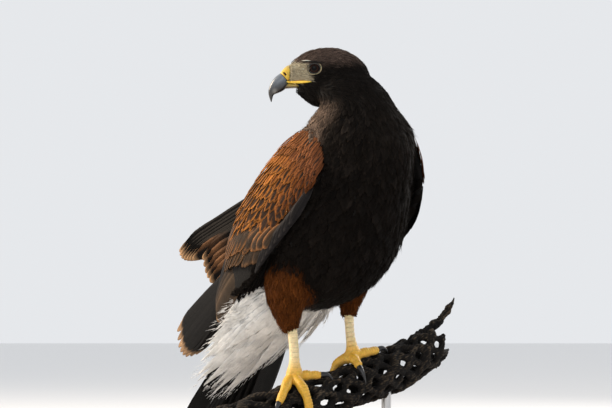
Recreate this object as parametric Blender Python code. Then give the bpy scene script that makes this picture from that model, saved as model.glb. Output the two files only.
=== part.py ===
"""Harris's hawk: a still, life-size model that grips a cut length of cholla wood on a display stand.

The bird's body is described in its own axes: "along" runs from tail to neck, "side" to the
bird's left and "dorsal" to its back. The legs, perch and stand are placed in world axes.
Dimensions are millimetres and angles are degrees; the meshes are written in metres.
"""
import math

import bmesh
import bpy
from mathutils import Matrix, Vector

MM = 0.001
GAP = 0.3                        # clearance between neighbouring nodes
ROOM = 0.42                      # clearance asked of a cut, which flattening may narrow
WELD = 0.004                     # edges shorter than this are closed up after a cut
FLATNESS = math.radians(1.0)     # faces this close to one plane are joined after a cut

# ---- Pose of the body ----
BODY_HEADING = 42.0              # turned from the front (-Y) towards +X
BODY_PITCH = 61.0                # the body axis above the horizontal
BODY_CENTRE = Vector((17.7, 0.0, 284.0))
HEAD_CENTRE = Vector((22.7, -25.0, 417.8))
HEAD_YAW = 6.0                   # the bill's turn from -X towards the front

# ---- Torso: along, half width, depth to the breast, depth to the back ----
TORSO_STATIONS = (
    (-112, 9, 8, 12), (-104, 22, 20, 20), (-92, 36, 36, 30), (-75, 50, 54, 40),
    (-45, 66, 73, 51), (-10, 74, 80, 57), (22, 70, 79, 53), (50, 62, 75, 46),
    (70, 57, 69, 40), (88, 56, 63, 36), (108, 50, 51, 31))
TORSO_LEVELS = 15
TORSO_SIDES = 22
TORSO_SQUARENESS = 2.3

# ---- Neck: centre, half width along X and along Y, share of the turn from body to head ----
NECK_STATIONS = (
    ((46, -35, 391), 41.5, 39, 0.55), ((40, -31, 402), 37.5, 36, 0.85),
    ((35, -28, 411), 32.5, 31, 1.0), ((32, -26, 419), 26.5, 25, 1.0), ((30, -25, 426), 17, 17, 1.0))

# ---- Head, in its own axes: forward, top, bottom, half width ----
HEAD_STATIONS = (
    (-37, 0, -12, 7), (-33.5, 9, -20, 14), (-28, 15.5, -24.5, 18.5), (-20, 21.5, -28, 22.5),
    (-8, 26.8, -30, 25), (4, 28.2, -31, 25.5), (14, 27.2, -31, 24.3), (22, 25.0, -28.5, 21.8),
    (30, 21.2, -21.5, 17.3), (36.5, 16.4, -14.6, 13.2), (41, 12.9, -12.6, 10.4), (43.5, 11.0, -12.0, 9.2))
HEAD_LEVELS = 18
HEAD_SIDES = 22
EYE_RADIUS = 8.2
EYE_FORWARD = 21.1
EYE_HEIGHT = 6.0
EYE_TURN = 18.0                  # the eye's axis, turned from sideways to forwards
EYE_OUT = 20.8                   # the front of the eyeball from the head's middle plane
LID_OPENING = (6.2, 5.2)         # half length and half height
LID_THICKNESS = 1.0
LID_SIDES = 5
MOUTH_BACK = 23.3
MOUTH_HEIGHT = -6.8
MOUTH_GROOVE = 0.8

# ---- Bill, in the head's axes: forward and height of the ridge and of the cutting edge, half width ----
CERE_STATIONS = (
    (43.8, 10.9, 43.8, -5.6, 9.1), (46.8, 9.4, 44.1, -5.8, 9.1), (49.8, 6.5, 44.4, -6.0, 8.9),
    (52.4, 2.9, 44.7, -6.3, 8.4))
UPPER_BILL_STATIONS = (
    (52.8, 2.4, 45.0, -6.9, 8.2), (56.2, -0.1, 45.8, -10.6, 8.0), (59.5, -3.6, 48.2, -13.6, 7.3),
    (62.2, -8.1, 51.7, -15.8, 6.2), (63.9, -12.8, 55.6, -17.4, 4.9), (64.2, -17.4, 59.0, -19.0, 3.3),
    (63.2, -21.9, 60.2, -22.3, 1.8), (61.7, -26.0, 61.1, -26.0, 0.5))
LOWER_BILL_STATIONS = (
    (33.0, -6.8, 33.0, -12.6, 13.0), (38.0, -6.8, 38.0, -13.4, 11.2), (43.0, -6.9, 42.6, -13.6, 9.0),
    (47.0, -7.6, 46.6, -13.6, 6.0), (52.0, -9.6, 51.6, -14.2, 4.4), (55.0, -11.6, 54.8, -14.0, 2.4))
NOSTRIL = (48.6, 1.6)
NOSTRIL_SIZE = (2.2, 1.1, 1.6)

# ---- Folded wings, left (1) and right (-1), the left one held a little off the body ----
# Envelope: along, half width, its depth to the back and to the breast
WING_ENVELOPES = {
    1: ((-240, 30, 62, 60), (-190, 42, 60, 66), (-150, 54, 60, 72), (-110, 66, 63, 78), (-70, 77, 66, 83),
        (-30, 84, 68, 87), (10, 87, 69, 88), (50, 83, 66, 84), (80, 74, 59, 72), (108, 58, 48, 52)),
    -1: ((-240, 30, 62, 60), (-190, 42, 60, 66), (-150, 54, 60, 72), (-110, 66, 63, 78), (-70, 77, 66, 83),
         (-30, 82, 66, 87), (10, 77, 61, 88), (50, 67, 50, 84), (80, 57, 38, 72), (108, 50, 30, 56))}
ENVELOPE_MIDDLE = 5.0            # dorsal place of the envelope's widest line
ENVELOPE_SQUARENESS = 2.5
# Core of the wing: along, front edge, back edge, thickness
WING_CORES = {
    1: ((94, -2, 22, 8), (88, -14, 36, 16), (80, -26, 46, 20), (66, -38, 56, 22), (48, -45, 62, 22),
        (28, -42, 65, 22), (8, -37, 66, 20), (-20, -27, 66, 18), (-50, -14, 62, 14), (-80, -2, 57, 8),
        (-108, 22, 52, 5)),
    -1: ((79, 5, 17, 8), (76, -4, 24, 13), (70, -15, 30, 18), (60, -25, 37, 20), (48, -33, 43, 22),
         (32, -36, 51, 22), (12, -34, 58, 20), (-20, -26, 64, 18), (-50, -14, 62, 14), (-80, -2, 57, 8),
         (-108, 22, 52, 5))}
SECONDARY_WIDTH = 25.0
SECONDARY_ROLL = 12.0            # about the quill
# Rows of folded feathers: (along, dorsal) of tips and roots at even steps along the row
GREATER_COVERT_TIPS = ((-54, -9), (-66, 8), (-80, 28), (-95, 43), (-97, 55), (-88, 63))
GREATER_COVERT_ROOTS = ((-2, -24), (-12, -6), (-24, 14), (-36, 30), (-38, 44), (-32, 54))
GREATER_COVERTS = 6
GREATER_COVERT_WIDTH = 21.0
EDGE_COVERT_TIPS = {1: ((-66, -7), (-30, -22), (2, -36)), -1: ((-64, -12), (-32, -24), (0, -33))}
EDGE_COVERT_ROOTS = {1: ((10, -30), (34, -38), (52, -42)), -1: ((8, -29), (28, -34), (44, -32))}
EDGE_COVERTS = 3
EDGE_COVERT_WIDTH = 14.0
SECONDARY_TIPS_RIGHT = ((-151, 48, 47), (-143, 45, 56), (-128, 40, 64), (-108, 35, 69), (-84, 30, 71))
SECONDARY_TIPS_LEFT = ((-184, 26, 103), (-178, 20, 124), (-170, 15, 147), (-160, 11, 170), (-154, 7, 199))
SECONDARY_ROOTS_LEFT = ((-50, 70, 20), (-36, 66, 42), (-16, 60, 60), (6, 52, 70), (29, 46, 72))
SECONDARY_ROOTS_RIGHT = ((-62, 72, 6), (-48, 74, 20), (-34, 70, 34), (-18, 64, 46), (0, 56, 56))
SECONDARIES = 7
PRIMARY_TIPS = ((-219, 20, 90), (-228, 24, 103), (-225, 27, 116), (-210, 28, 126))
PRIMARY_ROOTS = ((-50, 70, -8), (-48, 70, -3), (-46, 69, 2), (-44, 68, 7))
PRIMARY_WIDTH = 17.0
PRIMARIES = 5
# Shorter flight feathers that close the wing's lower edge
LOWER_TIPS = ((-89, 42, 12), (-119, 42, 29), (-151, 42, 46))
LOWER_ROOTS = ((-12, 66, -16), (-34, 68, -10), (-56, 70, 0))
LOWER_WIDTH = 21.0
LOWER_FEATHERS = 3

# ---- Tail ----
TAIL_ROOT = (-100.0, 24.5)       # along and dorsal
TAIL_SLOPE = 1.0 / 6.0           # dorsal rise for each unit back along the body
TAIL_LENGTH = 222.0
TAIL_FEATHERS = 12
TAIL_HALF_WIDTHS = (9.0, 34.0, 41.0)     # of the feathers' shafts at the root, the middle and the tip
TAIL_FEATHER_WIDTH = 29.0
TAIL_STEP = 1.7                  # dorsal step from each feather to the next
# Rim and roots of the fan of soft plumes under the tail, in the body's axes, from its right edge to its left
UNDER_COVERT_TIPS = (
    (-112, -55, 18), (-146, -59, 30), (-184, -58, 38), (-218, -54, 40), (-236, -36, 38), (-232, -10, 33),
    (-204, 8, 28), (-186, 32, 22), (-162, 46, 15), (-136, 50, 8), (-104, 50, -1))
UNDER_COVERT_ROOTS = (
    (-92, -44, 8), (-84, -34, -12), (-78, -10, -26), (-80, 14, -24), (-84, 34, -12), (-90, 43, -4))
UNDER_COVERTS = 10
UNDER_COVERT_WIDTH = 24.0
UPPER_COVERT_TIPS = ((-28, -150), (-14, -166), (0, -172), (14, -166), (28, -150))
UPPER_COVERTS = 6
UPPER_COVERT_WIDTH = 17.0

# ---- Legs, in world axes: centre, radius ----
THIGHS = {
    "right": (((-14, -22, 232), 26), ((-20, -20, 213), 26.5), ((-23, -17, 196), 21),
              ((-22, -14, 181), 14.5), ((-20, -12.5, 170), 10.5), ((-18.5, -12.5, 164), 7.5)),
    "left": (((44, 34, 238), 22), ((42.5, 34, 220), 21.5), ((41, 34, 204), 16.5),
             ((39.5, 33, 190), 11), ((39, 32.5, 182), 8.6), ((39, 32, 178), 7)),
}
TARSI = {
    "right": (((-20, -13, 182), 5.6), ((-17.5, -13.5, 164), 5.1), ((-16, -14.5, 148), 4.9),
              ((-15.5, -15.5, 134), 5.6), ((-15.5, -16, 124), 8.4), ((-15.5, -16, 117.5), 8.6)),
    "left": (((39, 32.5, 192), 5.2), ((39.5, 32, 178), 4.9), ((40.5, 30, 162), 4.7),
             ((42, 28, 151), 5.6), ((43, 27, 144), 7.8), ((43, 27, 138), 8.2)),
}
# Toes on the perch: (along the perch from the foot, degrees from its top towards the front) of
# root and tip, then the claw's length
TOES = {
    "right": (("inner", (4, 2), (23, 24), 17), ("middle", (-3, 12), (-6, 104), 15),
              ("outer", (-5, 6), (-33, 62), 13), ("hind", (2, -22), (6, -72), 20)),
    "left": (("inner", (-3, 10), (-6, 44), 22), ("middle", (4, 2), (30, 12), 13),
             ("outer", (4, -12), (24, -44), 13), ("hind", (-4, -22), (-10, -72), 20)),
}
TOE_RADII = (6.2, 4.9, 5.3, 4.2, 4.4, 3.4)
CLAW_RADIUS = 2.7

# ---- Perch: centre line from the cut end to the splintered tip, radius ----
PERCH_LINE = (
    ((-95, -66, 66), 23), ((-73, -53, 74), 23.5), ((-45, -34, 82), 23.5), ((-15.5, -14, 90.5), 23.5),
    ((14, 6, 99), 23), ((43, 27, 110.5), 23), ((70, 45, 119), 23.5), ((95, 61, 130), 23),
    ((118, 76, 144), 22), ((134, 87, 157), 20.5))
PERCH_LEVELS = 11
PERCH_SIDES = 10
PERCH_BORE = 12.5
RIDGES = 4                       # low ridges round the perch, their height and their turn at each level
RIDGE_HEIGHT = 1.1
RIDGE_TWIST = 34.0
HOLE_ROWS = 6
HOLES_AROUND = 3
HOLE_LENGTH = 19.0
HOLE_WIDTH = 9.5
HOLE_REACH = (0.075, 0.925)      # shares of the perch's length at the first and the last row of holes
HOLE_TURN = 28.0                 # angle of the first hole from the perch's top
BORE_OVERRUN = 6.0               # how far the bore's cutter stands out of the perch's ends
SPLINTER = ((112, 74, 158), (131, 86, 172), (142, 92, 185), (150, 96, 198))
SPLINTER_RADII = (6.0, 6.5, 5.0, 1.6)

# ---- Stand ----
BASE_CENTRE = (0.0, 0.0)
BASE_RADIUS = 125.0
BASE_THICKNESS = 14.0
BASE_CHAMFER = 3.0
BASE_SIDES = 40
ROD_RADIUS = 5.0
ROD_STATIONS = (0.335, 0.70)     # shares of the perch's length
ROD_SINK = 7.0                   # how far a rod's end enters the perch

FORWARD = Vector((math.sin(math.radians(BODY_HEADING)), -math.cos(math.radians(BODY_HEADING)), 0.0))
LEFT = Vector((math.cos(math.radians(BODY_HEADING)), math.sin(math.radians(BODY_HEADING)), 0.0))
UP = Vector((0.0, 0.0, 1.0))
AXIS = FORWARD * math.cos(math.radians(BODY_PITCH)) + UP * math.sin(math.radians(BODY_PITCH))
DORSAL = UP * math.cos(math.radians(BODY_PITCH)) - FORWARD * math.sin(math.radians(BODY_PITCH))
BILL_WAY = Vector((-math.cos(math.radians(HEAD_YAW)), -math.sin(math.radians(HEAD_YAW)), 0.0))
HEAD_LEFT = UP.cross(BILL_WAY)


# ---------------------------------------------------------------- numbers and places
def body_point(along, side, dorsal):
    """World place of a point given in the body's axes."""
    return BODY_CENTRE + AXIS * along + LEFT * side + DORSAL * dorsal


def head_point(forward, side, height):
    """World place of a point given in the head's axes."""
    return HEAD_CENTRE + BILL_WAY * forward + HEAD_LEFT * side + UP * height


def sample(stations, where):
    """Smooth values at one place of a table whose rows start with that place."""
    rows = sorted(stations)
    where = min(max(where, rows[0][0]), rows[-1][0])
    last = len(rows) - 1
    index = next(i for i in range(last) if where <= rows[i + 1][0])
    lower, upper = rows[index], rows[index + 1]
    before, after = rows[max(index - 1, 0)], rows[min(index + 2, last)]
    span = upper[0] - lower[0]
    t = (where - lower[0]) / span
    values = []
    for low, high, prior, later in zip(lower[1:], upper[1:], before[1:], after[1:]):
        slope_low = (high - prior) / (upper[0] - before[0]) * span
        slope_high = (later - low) / (after[0] - lower[0]) * span
        values.append((2 * t ** 3 - 3 * t ** 2 + 1) * low + (t ** 3 - 2 * t ** 2 + t) * slope_low
                      + (3 * t ** 2 - 2 * t ** 3) * high + (t ** 3 - t ** 2) * slope_high)
    return values


def along_row(points, share):
    """Smooth point at a share, from 0 to 1, of a row of evenly spaced points."""
    last = len(points) - 1
    table = [(index / last, *point) for index, point in enumerate(points)]
    return sample(table, share)


def spread(first, last, count):
    """Evenly spaced numbers from first to last."""
    return [first + (last - first) * index / (count - 1) for index in range(count)]


def power(value, exponent):
    """Signed power, for rounded-square sections."""
    return math.copysign(abs(value) ** exponent, value)


# ---------------------------------------------------------------- mesh tools
def new_object(name, points, faces):
    """Object from points in millimetres, with its faces turned outwards."""
    mesh = bpy.data.meshes.new(name)
    mesh.from_pydata([tuple(Vector(point) * MM) for point in points], [], faces)
    shape = bmesh.new()
    shape.from_mesh(mesh)
    bmesh.ops.triangulate(shape, faces=shape.faces, quad_method="FIXED", ngon_method="EAR_CLIP")
    bmesh.ops.recalc_face_normals(shape, faces=shape.faces)
    if shape.calc_volume(signed=True) < 0.0:
        bmesh.ops.reverse_faces(shape, faces=shape.faces)
    shape.to_mesh(mesh)
    shape.free()
    result = bpy.data.objects.new(name, mesh)
    bpy.context.scene.collection.objects.link(result)
    return result


def loft(name, rings):
    """Closed skin through rings of equal count, with flat ends."""
    count = len(rings[0])
    points = [point for ring in rings for point in ring]
    faces = [tuple(range(count)), tuple(range(len(points) - count, len(points)))]
    for level in range(len(rings) - 1):
        for index in range(count):
            here = level * count + index
            beside = level * count + (index + 1) % count
            faces.append((here, beside, beside + count, here + count))
    return new_object(name, points, faces)


def ellipse_ring(centre, across, along, half_across, half_along, sides, squareness=2.0):
    """Rounded ring spanned by two directions."""
    ring = []
    for index in range(sides):
        angle = 2 * math.pi * index / sides
        ring.append(centre + across * half_across * power(math.cos(angle), 2 / squareness)
                    + along * half_along * power(math.sin(angle), 2 / squareness))
    return ring


def tube(name, path, radii, sides, flatten=1.0, flat_way=UP):
    """Tube with flat ends along a path; flatten scales it along the flat direction."""
    rings = []
    last = len(path) - 1
    for index, centre in enumerate(path):
        tangent = (path[min(index + 1, last)] - path[max(index - 1, 0)]).normalized()
        across = tangent.cross(flat_way).normalized()
        upwards = across.cross(tangent)
        rings.append(ellipse_ring(centre, across, upwards, radii[index], radii[index] * flatten, sides))
    return loft(name, rings)


def ball(name, centre, radii, turn=None, segments=16, rings=10):
    """Ellipsoid whose poles lie along its own z direction."""
    shape = bmesh.new()
    bmesh.ops.create_uvsphere(shape, u_segments=segments, v_segments=rings, radius=1.0)
    turn = turn or Matrix.Identity(3)
    points = [centre + turn @ Vector(v.co[i] * radii[i] for i in range(3)) for v in shape.verts]
    faces = [[v.index for v in face.verts] for face in shape.faces]
    shape.free()
    return new_object(name, points, faces)


def vane(root, bend, tip, width, face_way, thickness=1.1, roll=0.0, root_share=0.45, camber=0.03):
    """Feather vane: a thin, cambered, tapered plate from root to rounded tip."""
    outline = (root_share, 0.92, 1.0, 0.80)
    cells = len(outline) - 1
    top, bottom = [], []
    for row in range(cells + 1):
        t = row / cells
        centre = root * (1 - t) ** 2 + bend * 2 * t * (1 - t) + tip * t ** 2
        tangent = ((bend - root) * (1 - t) + (tip - bend) * t).normalized()
        across = (Matrix.Rotation(math.radians(roll), 3, tangent) @ tangent.cross(face_way)).normalized()
        outwards = across.cross(tangent)
        if outwards.dot(face_way) < 0:
            outwards = -outwards
        half = 0.5 * width * outline[row]
        half_thick = 0.5 * thickness * (1.0 - 0.45 * t)
        pull = 0.34 * width if row == cells else 0.0
        for column in (-1, 0, 1):
            place = centre + across * half * column - tangent * pull * abs(column)
            place += outwards * camber * width * (1 - abs(column))
            top.append(place + outwards * half_thick)
            bottom.append(place - outwards * half_thick)
    count = len(top)
    faces = []
    for row in range(cells):
        for column in range(2):
            a = row * 3 + column
            b, c, d = a + 1, a + 4, a + 3
            faces += [(a, b, c), (a, c, d)]
            faces += [(c + count, b + count, a + count), (d + count, c + count, a + count)]
    rim = [row * 3 for row in range(cells + 1)] + [cells * 3 + 1]
    rim += [row * 3 + 2 for row in range(cells, -1, -1)] + [1]
    for here, there in zip(rim, rim[1:] + rim[:1]):
        faces += [(here, there, there + count), (here, there + count, here + count)]
    return new_object("vane", top + bottom, faces)


def evaluated_mesh(target):
    """Put a target's modifiers into its mesh."""
    graph = bpy.context.evaluated_depsgraph_get()
    mesh = bpy.data.meshes.new_from_object(target.evaluated_get(graph))
    target.modifiers.clear()
    target.data = mesh


def islands_of(shape):
    """Groups of joined vertices."""
    unseen = set(shape.verts)
    islands = []
    while unseen:
        island, edge = set(), {unseen.pop()}
        while edge:
            vert = edge.pop()
            island.add(vert)
            edge |= {link.other_vert(vert) for link in vert.link_edges} - island
        unseen -= island
        islands.append(island)
    return islands


def box_volume(island):
    """Volume of the box round a group of vertices."""
    sides = [[vert.co[axis] for vert in island] for axis in range(3)]
    return math.prod(max(side) - min(side) for side in sides)


def keep_largest(target):
    """Join nearly flat faces, where the surface stays closed, and keep its largest closed part."""
    for weld, flatness in ((WELD, FLATNESS), (WELD, FLATNESS / 10), (WELD, None), (None, None)):
        shape = bmesh.new()
        shape.from_mesh(target.data)
        if weld:
            bmesh.ops.dissolve_degenerate(shape, dist=weld * MM, edges=shape.edges)
        if flatness:
            bmesh.ops.dissolve_limit(shape, angle_limit=flatness, verts=shape.verts, edges=shape.edges)
        bmesh.ops.triangulate(shape, faces=shape.faces)
        closed = all(link.is_manifold for link in shape.edges)
        if closed:
            break
        if weld:
            shape.free()
    largest = max(islands_of(shape), key=box_volume)
    bmesh.ops.delete(shape, geom=[vert for vert in shape.verts if vert not in largest], context="VERTS")
    shape.to_mesh(target.data)
    shape.free()


def boolean(target, others, operation, solver="EXACT"):
    """Join or cut a target with a collection of closed objects, which are then removed."""
    group = bpy.data.collections.new("pieces")
    for other in others:
        group.objects.link(other)
    modifier = target.modifiers.new("boolean", "BOOLEAN")
    modifier.operation = operation
    modifier.operand_type = "COLLECTION"
    modifier.collection = group
    modifier.solver = solver
    evaluated_mesh(target)
    for other in others:
        bpy.data.objects.remove(other)
    bpy.data.collections.remove(group)
    keep_largest(target)
    return target


def fuse(name, pieces):
    """One closed node from overlapping pieces."""
    first = pieces[0]
    first.name = name
    return boolean(first, pieces[1:], "UNION") if len(pieces) > 1 else first


def swollen(source, margin=ROOM):
    """Copy of an object, swollen by a margin, for cutting room in its neighbours."""
    copy = source.copy()
    copy.data = source.data.copy()
    bpy.context.scene.collection.objects.link(copy)
    shape = bmesh.new()
    shape.from_mesh(copy.data)
    shape.normal_update()
    moves = [(v, v.normal * (margin * MM * min(v.calc_shell_factor(), 2.0))) for v in shape.verts]
    for vert, move in moves:
        vert.co += move
    shape.to_mesh(copy.data)
    shape.free()
    return copy


def make_room(target, *neighbours, solver="EXACT"):
    """Cut a node clear of its neighbours by the usual gap."""
    for neighbour in neighbours:
        boolean(target, [swollen(neighbour)], "DIFFERENCE", solver)
    return target


def finish(target, colour, roughness, metallic=0.0):
    """Principled material and smooth shading with sharp edges kept."""
    material = bpy.data.materials.new(target.name)
    material.use_nodes = True
    shader = material.node_tree.nodes["Principled BSDF"]
    shader.inputs["Base Color"].default_value = (*colour, 1.0)
    shader.inputs["Roughness"].default_value = roughness
    shader.inputs["Metallic"].default_value = metallic
    target.data.materials.clear()
    target.data.materials.append(material)
    target.data.shade_smooth()
    target.data.set_sharp_from_angle(angle=math.radians(40))


# ---------------------------------------------------------------- torso and neck
def torso_ring(along):
    """Section of the torso across its axis."""
    half_width, breast, back = sample(TORSO_STATIONS, along)
    ring = []
    for index in range(TORSO_SIDES):
        angle = 2 * math.pi * index / TORSO_SIDES
        side = half_width * power(math.cos(angle), 2 / TORSO_SQUARENESS)
        depth = back if math.sin(angle) > 0 else breast
        dorsal = depth * power(math.sin(angle), 2 / TORSO_SQUARENESS)
        ring.append(body_point(along, side, dorsal))
    return ring


def make_torso():
    low, high = TORSO_STATIONS[0][0], TORSO_STATIONS[-1][0]
    return loft("torso", [torso_ring(along) for along in spread(low, high, TORSO_LEVELS)])


def make_neck(head):
    """Neck from the torso's flat top up into the head, which it then clears."""
    start = TORSO_STATIONS[-1][0]
    rings = [[point + AXIS * GAP for point in torso_ring(start)]]
    for centre, half_x, half_y, turn in NECK_STATIONS:
        level = AXIS.lerp(UP, turn).normalized()
        across = LEFT.lerp(Vector((1.0, 0.0, 0.0)), turn)
        across = (across - level * across.dot(level)).normalized()
        rings.append(ellipse_ring(Vector(centre), across, level.cross(across), half_x, half_y, TORSO_SIDES))
    return make_room(loft("neck", rings), head)


# ---------------------------------------------------------------- head
def bump(forward, height, centre, size, amount):
    """Smooth swelling of the head's side."""
    away = ((forward - centre[0]) / size[0]) ** 2 + ((height - centre[1]) / size[1]) ** 2
    return amount * math.exp(-away)


def face_relief(forward, height):
    """Brow ridge, hollow of the eye, cheek and lores, measured outwards."""
    relief = bump(forward, height, (22, 13.4), (11, 3.2), 2.4)
    relief += bump(forward, height, (21, 5.4), (8.5, 5.5), -2.6)
    relief += bump(forward, height, (35, 2.0), (6, 5), -1.2)
    relief += bump(forward, height, (13, -10), (10, 7), 1.2)
    return relief


def head_side(forward, height):
    """Half width of the head at a height."""
    top, bottom, half_width = sample(HEAD_STATIONS, forward)
    middle, half_height = (top + bottom) / 2, (top - bottom) / 2
    level = min(abs(height - middle) / half_height, 1.0)
    return half_width * (1 - level ** 2.2) ** (1 / 2.2) + face_relief(forward, height)


def make_head():
    """Skull with brows, eye sockets, lids and the line of the mouth."""
    rings = []
    low, high = HEAD_STATIONS[0][0], HEAD_STATIONS[-1][0]
    for forward in spread(low, high, HEAD_LEVELS):
        top, bottom, _ = sample(HEAD_STATIONS, forward)
        ring = []
        for index in range(HEAD_SIDES):
            angle = 2 * math.pi * index / HEAD_SIDES
            height = (top + bottom) / 2 + (top - bottom) / 2 * power(math.sin(angle), 2 / 2.2)
            side = head_side(forward, height) * (1 if math.cos(angle) > 0 else -1)
            if abs(math.cos(angle)) < 1e-6:
                side = 0.0
            ring.append(head_point(forward, side, height))
        rings.append(ring)
    head = loft("head", rings)
    lids = [make_lids(side) for side in (1, -1)]
    boolean(head, lids, "UNION")
    sockets = [ball("socket", eye_centre(side), [EYE_RADIUS + GAP] * 3, segments=12, rings=8)
               for side in (1, -1)]
    boolean(head, sockets, "DIFFERENCE")
    boolean(head, [mouth_groove(side) for side in (1, -1)], "DIFFERENCE")
    return head


def eye_way(side):
    """Direction in which an eye looks."""
    turn = math.radians(EYE_TURN)
    return BILL_WAY * math.sin(turn) + HEAD_LEFT * side * math.cos(turn)


def eye_centre(side):
    """Centre of an eyeball."""
    front = head_point(EYE_FORWARD, EYE_OUT * side, EYE_HEIGHT)
    return front - eye_way(side) * EYE_RADIUS


def make_lids(side):
    """Rim of the lids round an eye, lying on the eyeball."""
    way, centre = eye_way(side), eye_centre(side)
    across = UP.cross(way).normalized()
    reach = EYE_RADIUS + 0.9
    rings, steps = [], 12
    for step in range(steps):
        angle = 2 * math.pi * step / steps
        flat = across * LID_OPENING[0] * math.cos(angle) + UP * LID_OPENING[1] * math.sin(angle)
        depth = math.sqrt(reach ** 2 - flat.length_squared)
        place = centre + flat + way * depth
        outwards = (place - centre).normalized()
        rings.append(ellipse_ring(place, flat.normalized(), outwards, LID_THICKNESS, LID_THICKNESS,
                                  LID_SIDES))
    points = [point for ring in rings for point in ring]
    faces = []
    for step in range(steps):
        for index in range(LID_SIDES):
            a, b = step * LID_SIDES + index, step * LID_SIDES + (index + 1) % LID_SIDES
            c, d = (b + LID_SIDES) % len(points), (a + LID_SIDES) % len(points)
            faces.append((a, b, c, d))
    return new_object("lids", points, faces)


def mouth_groove(side):
    """Cutter for the line of the mouth on one side of the head."""
    path = []
    for forward in spread(HEAD_STATIONS[-1][0] + 2, MOUTH_BACK, 6):
        height = MOUTH_HEIGHT + 0.02 * (forward - MOUTH_BACK)
        path.append(head_point(forward, head_side(forward, height) * side, height))
    return tube("groove", path, [MOUTH_GROOVE] * len(path), 4)


def bill_section(station, sides):
    """Ring through the ridge and the cutting edge of the bill."""
    ridge_forward, ridge_height, edge_forward, edge_height, half_width = station
    ring = []
    for index in range(sides):
        angle = 2 * math.pi * index / sides
        level = 0.5 + 0.5 * math.cos(angle)
        forward = edge_forward + (ridge_forward - edge_forward) * level
        height = edge_height + (ridge_height - edge_height) * level
        side = half_width * power(math.sin(angle), 0.8) * (1.0 - 0.22 * level)
        ring.append(head_point(forward, side, height))
    return ring


def make_bill(name, stations, levels, sides=12):
    """Loft of one part of the bill through its stations."""
    table = [(index / (len(stations) - 1), *station) for index, station in enumerate(stations)]
    return loft(name, [bill_section(sample(table, share), sides) for share in spread(0.0, 1.0, levels)])


def make_cere():
    """Fleshy base of the upper bill, with a nostril on each side."""
    cere = make_bill("cere", CERE_STATIONS, 7)
    holes = []
    for side in (1, -1):
        centre = head_point(NOSTRIL[0], 8.1 * side, NOSTRIL[1])
        turn = Matrix((BILL_WAY, HEAD_LEFT, UP)).transposed() @ Matrix.Rotation(math.radians(35), 3, "Y")
        holes.append(ball("nostril", centre, NOSTRIL_SIZE[:1] + (2.0,) + NOSTRIL_SIZE[1:2], turn, 10, 6))
    return boolean(cere, holes, "DIFFERENCE")


# ---------------------------------------------------------------- wings
def envelope_point(hand, along, dorsal, lift=0.0):
    """Point on the folded wing's outer surface, raised by lift; hand is 1 left, -1 right."""
    half_width, back, breast = sample(WING_ENVELOPES[hand], along)
    reach = back if dorsal > ENVELOPE_MIDDLE else breast
    level = min(abs(dorsal - ENVELOPE_MIDDLE) / reach, 0.97)
    side = half_width * (1 - level ** ENVELOPE_SQUARENESS) ** (1 / ENVELOPE_SQUARENESS)
    outward = Vector((side / half_width ** 2, (dorsal - ENVELOPE_MIDDLE) / reach ** 2)).normalized()
    return body_point(along, (side + outward.x * lift) * hand, dorsal + outward.y * lift)


def envelope_way(hand, along, dorsal):
    """Outward direction of the folded wing's surface."""
    return (envelope_point(hand, along, dorsal, 5.0) - envelope_point(hand, along, dorsal)).normalized()


def wing_core(hand):
    """Flesh and small feathers of the folded wing, as one curved plate."""
    rings = []
    core = WING_CORES[hand]
    for along in spread(core[0][0], core[-1][0], 12):
        front, back, thickness = sample(core, along)
        places = [front + (back - front) * (0.5 - 0.5 * math.cos(math.pi * share))
                  for share in spread(0, 1, 8)]
        outer = [envelope_point(hand, along, place) for place in places]
        inner = []
        for share, place in zip(spread(0, 1, 8), places):
            depth = 1.2 + thickness * math.sin(math.pi * share) ** 0.5
            inner.append(envelope_point(hand, along, place, -depth))
        rings.append(outer + inner[::-1])
    return loft("wing_core", rings)


def covert_row(hand, tips, roots, count, width, lift, thickness=1.1):
    """Row of overlapping coverts on the folded wing's surface."""
    pieces = []
    for share in spread(0.0, 1.0, count):
        tip_along, tip_dorsal = along_row(tips, share)
        root_along, root_dorsal = along_row(roots, share)
        mid_along, mid_dorsal = (tip_along + root_along) / 2, (tip_dorsal + root_dorsal) / 2
        root = envelope_point(hand, root_along, root_dorsal, -2.5)
        bend = envelope_point(hand, mid_along, mid_dorsal, lift + 1.4)
        tip = envelope_point(hand, tip_along, tip_dorsal, lift)
        way = envelope_way(hand, mid_along, mid_dorsal)
        pieces.append(vane(root, bend, tip, width, way, thickness, roll=11.0 * hand, root_share=0.6))
    return pieces


def flight_row(hand, tips, roots, count, width, step, droop, roll=0.0, thickness=1.1):
    """Row of flight feathers, each a step further out than the one before."""
    pieces = []
    for index, share in enumerate(spread(0.0, 1.0, count)):
        tip_along, tip_side, tip_dorsal = along_row(tips, share)
        root_along, root_side, root_dorsal = along_row(roots, share)
        out = step * index
        tip = body_point(tip_along, (tip_side + out) * hand, tip_dorsal)
        root = body_point(root_along, (root_side + out * 0.6) * hand, root_dorsal)
        middle = (tip + root) / 2
        bend = middle + LEFT * hand * droop
        way = envelope_way(hand, max((tip_along + root_along) / 2, -150), min(root_dorsal, 40))
        pieces.append(vane(root, bend, tip, width, way, thickness, roll=roll * hand))
    return pieces


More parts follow.
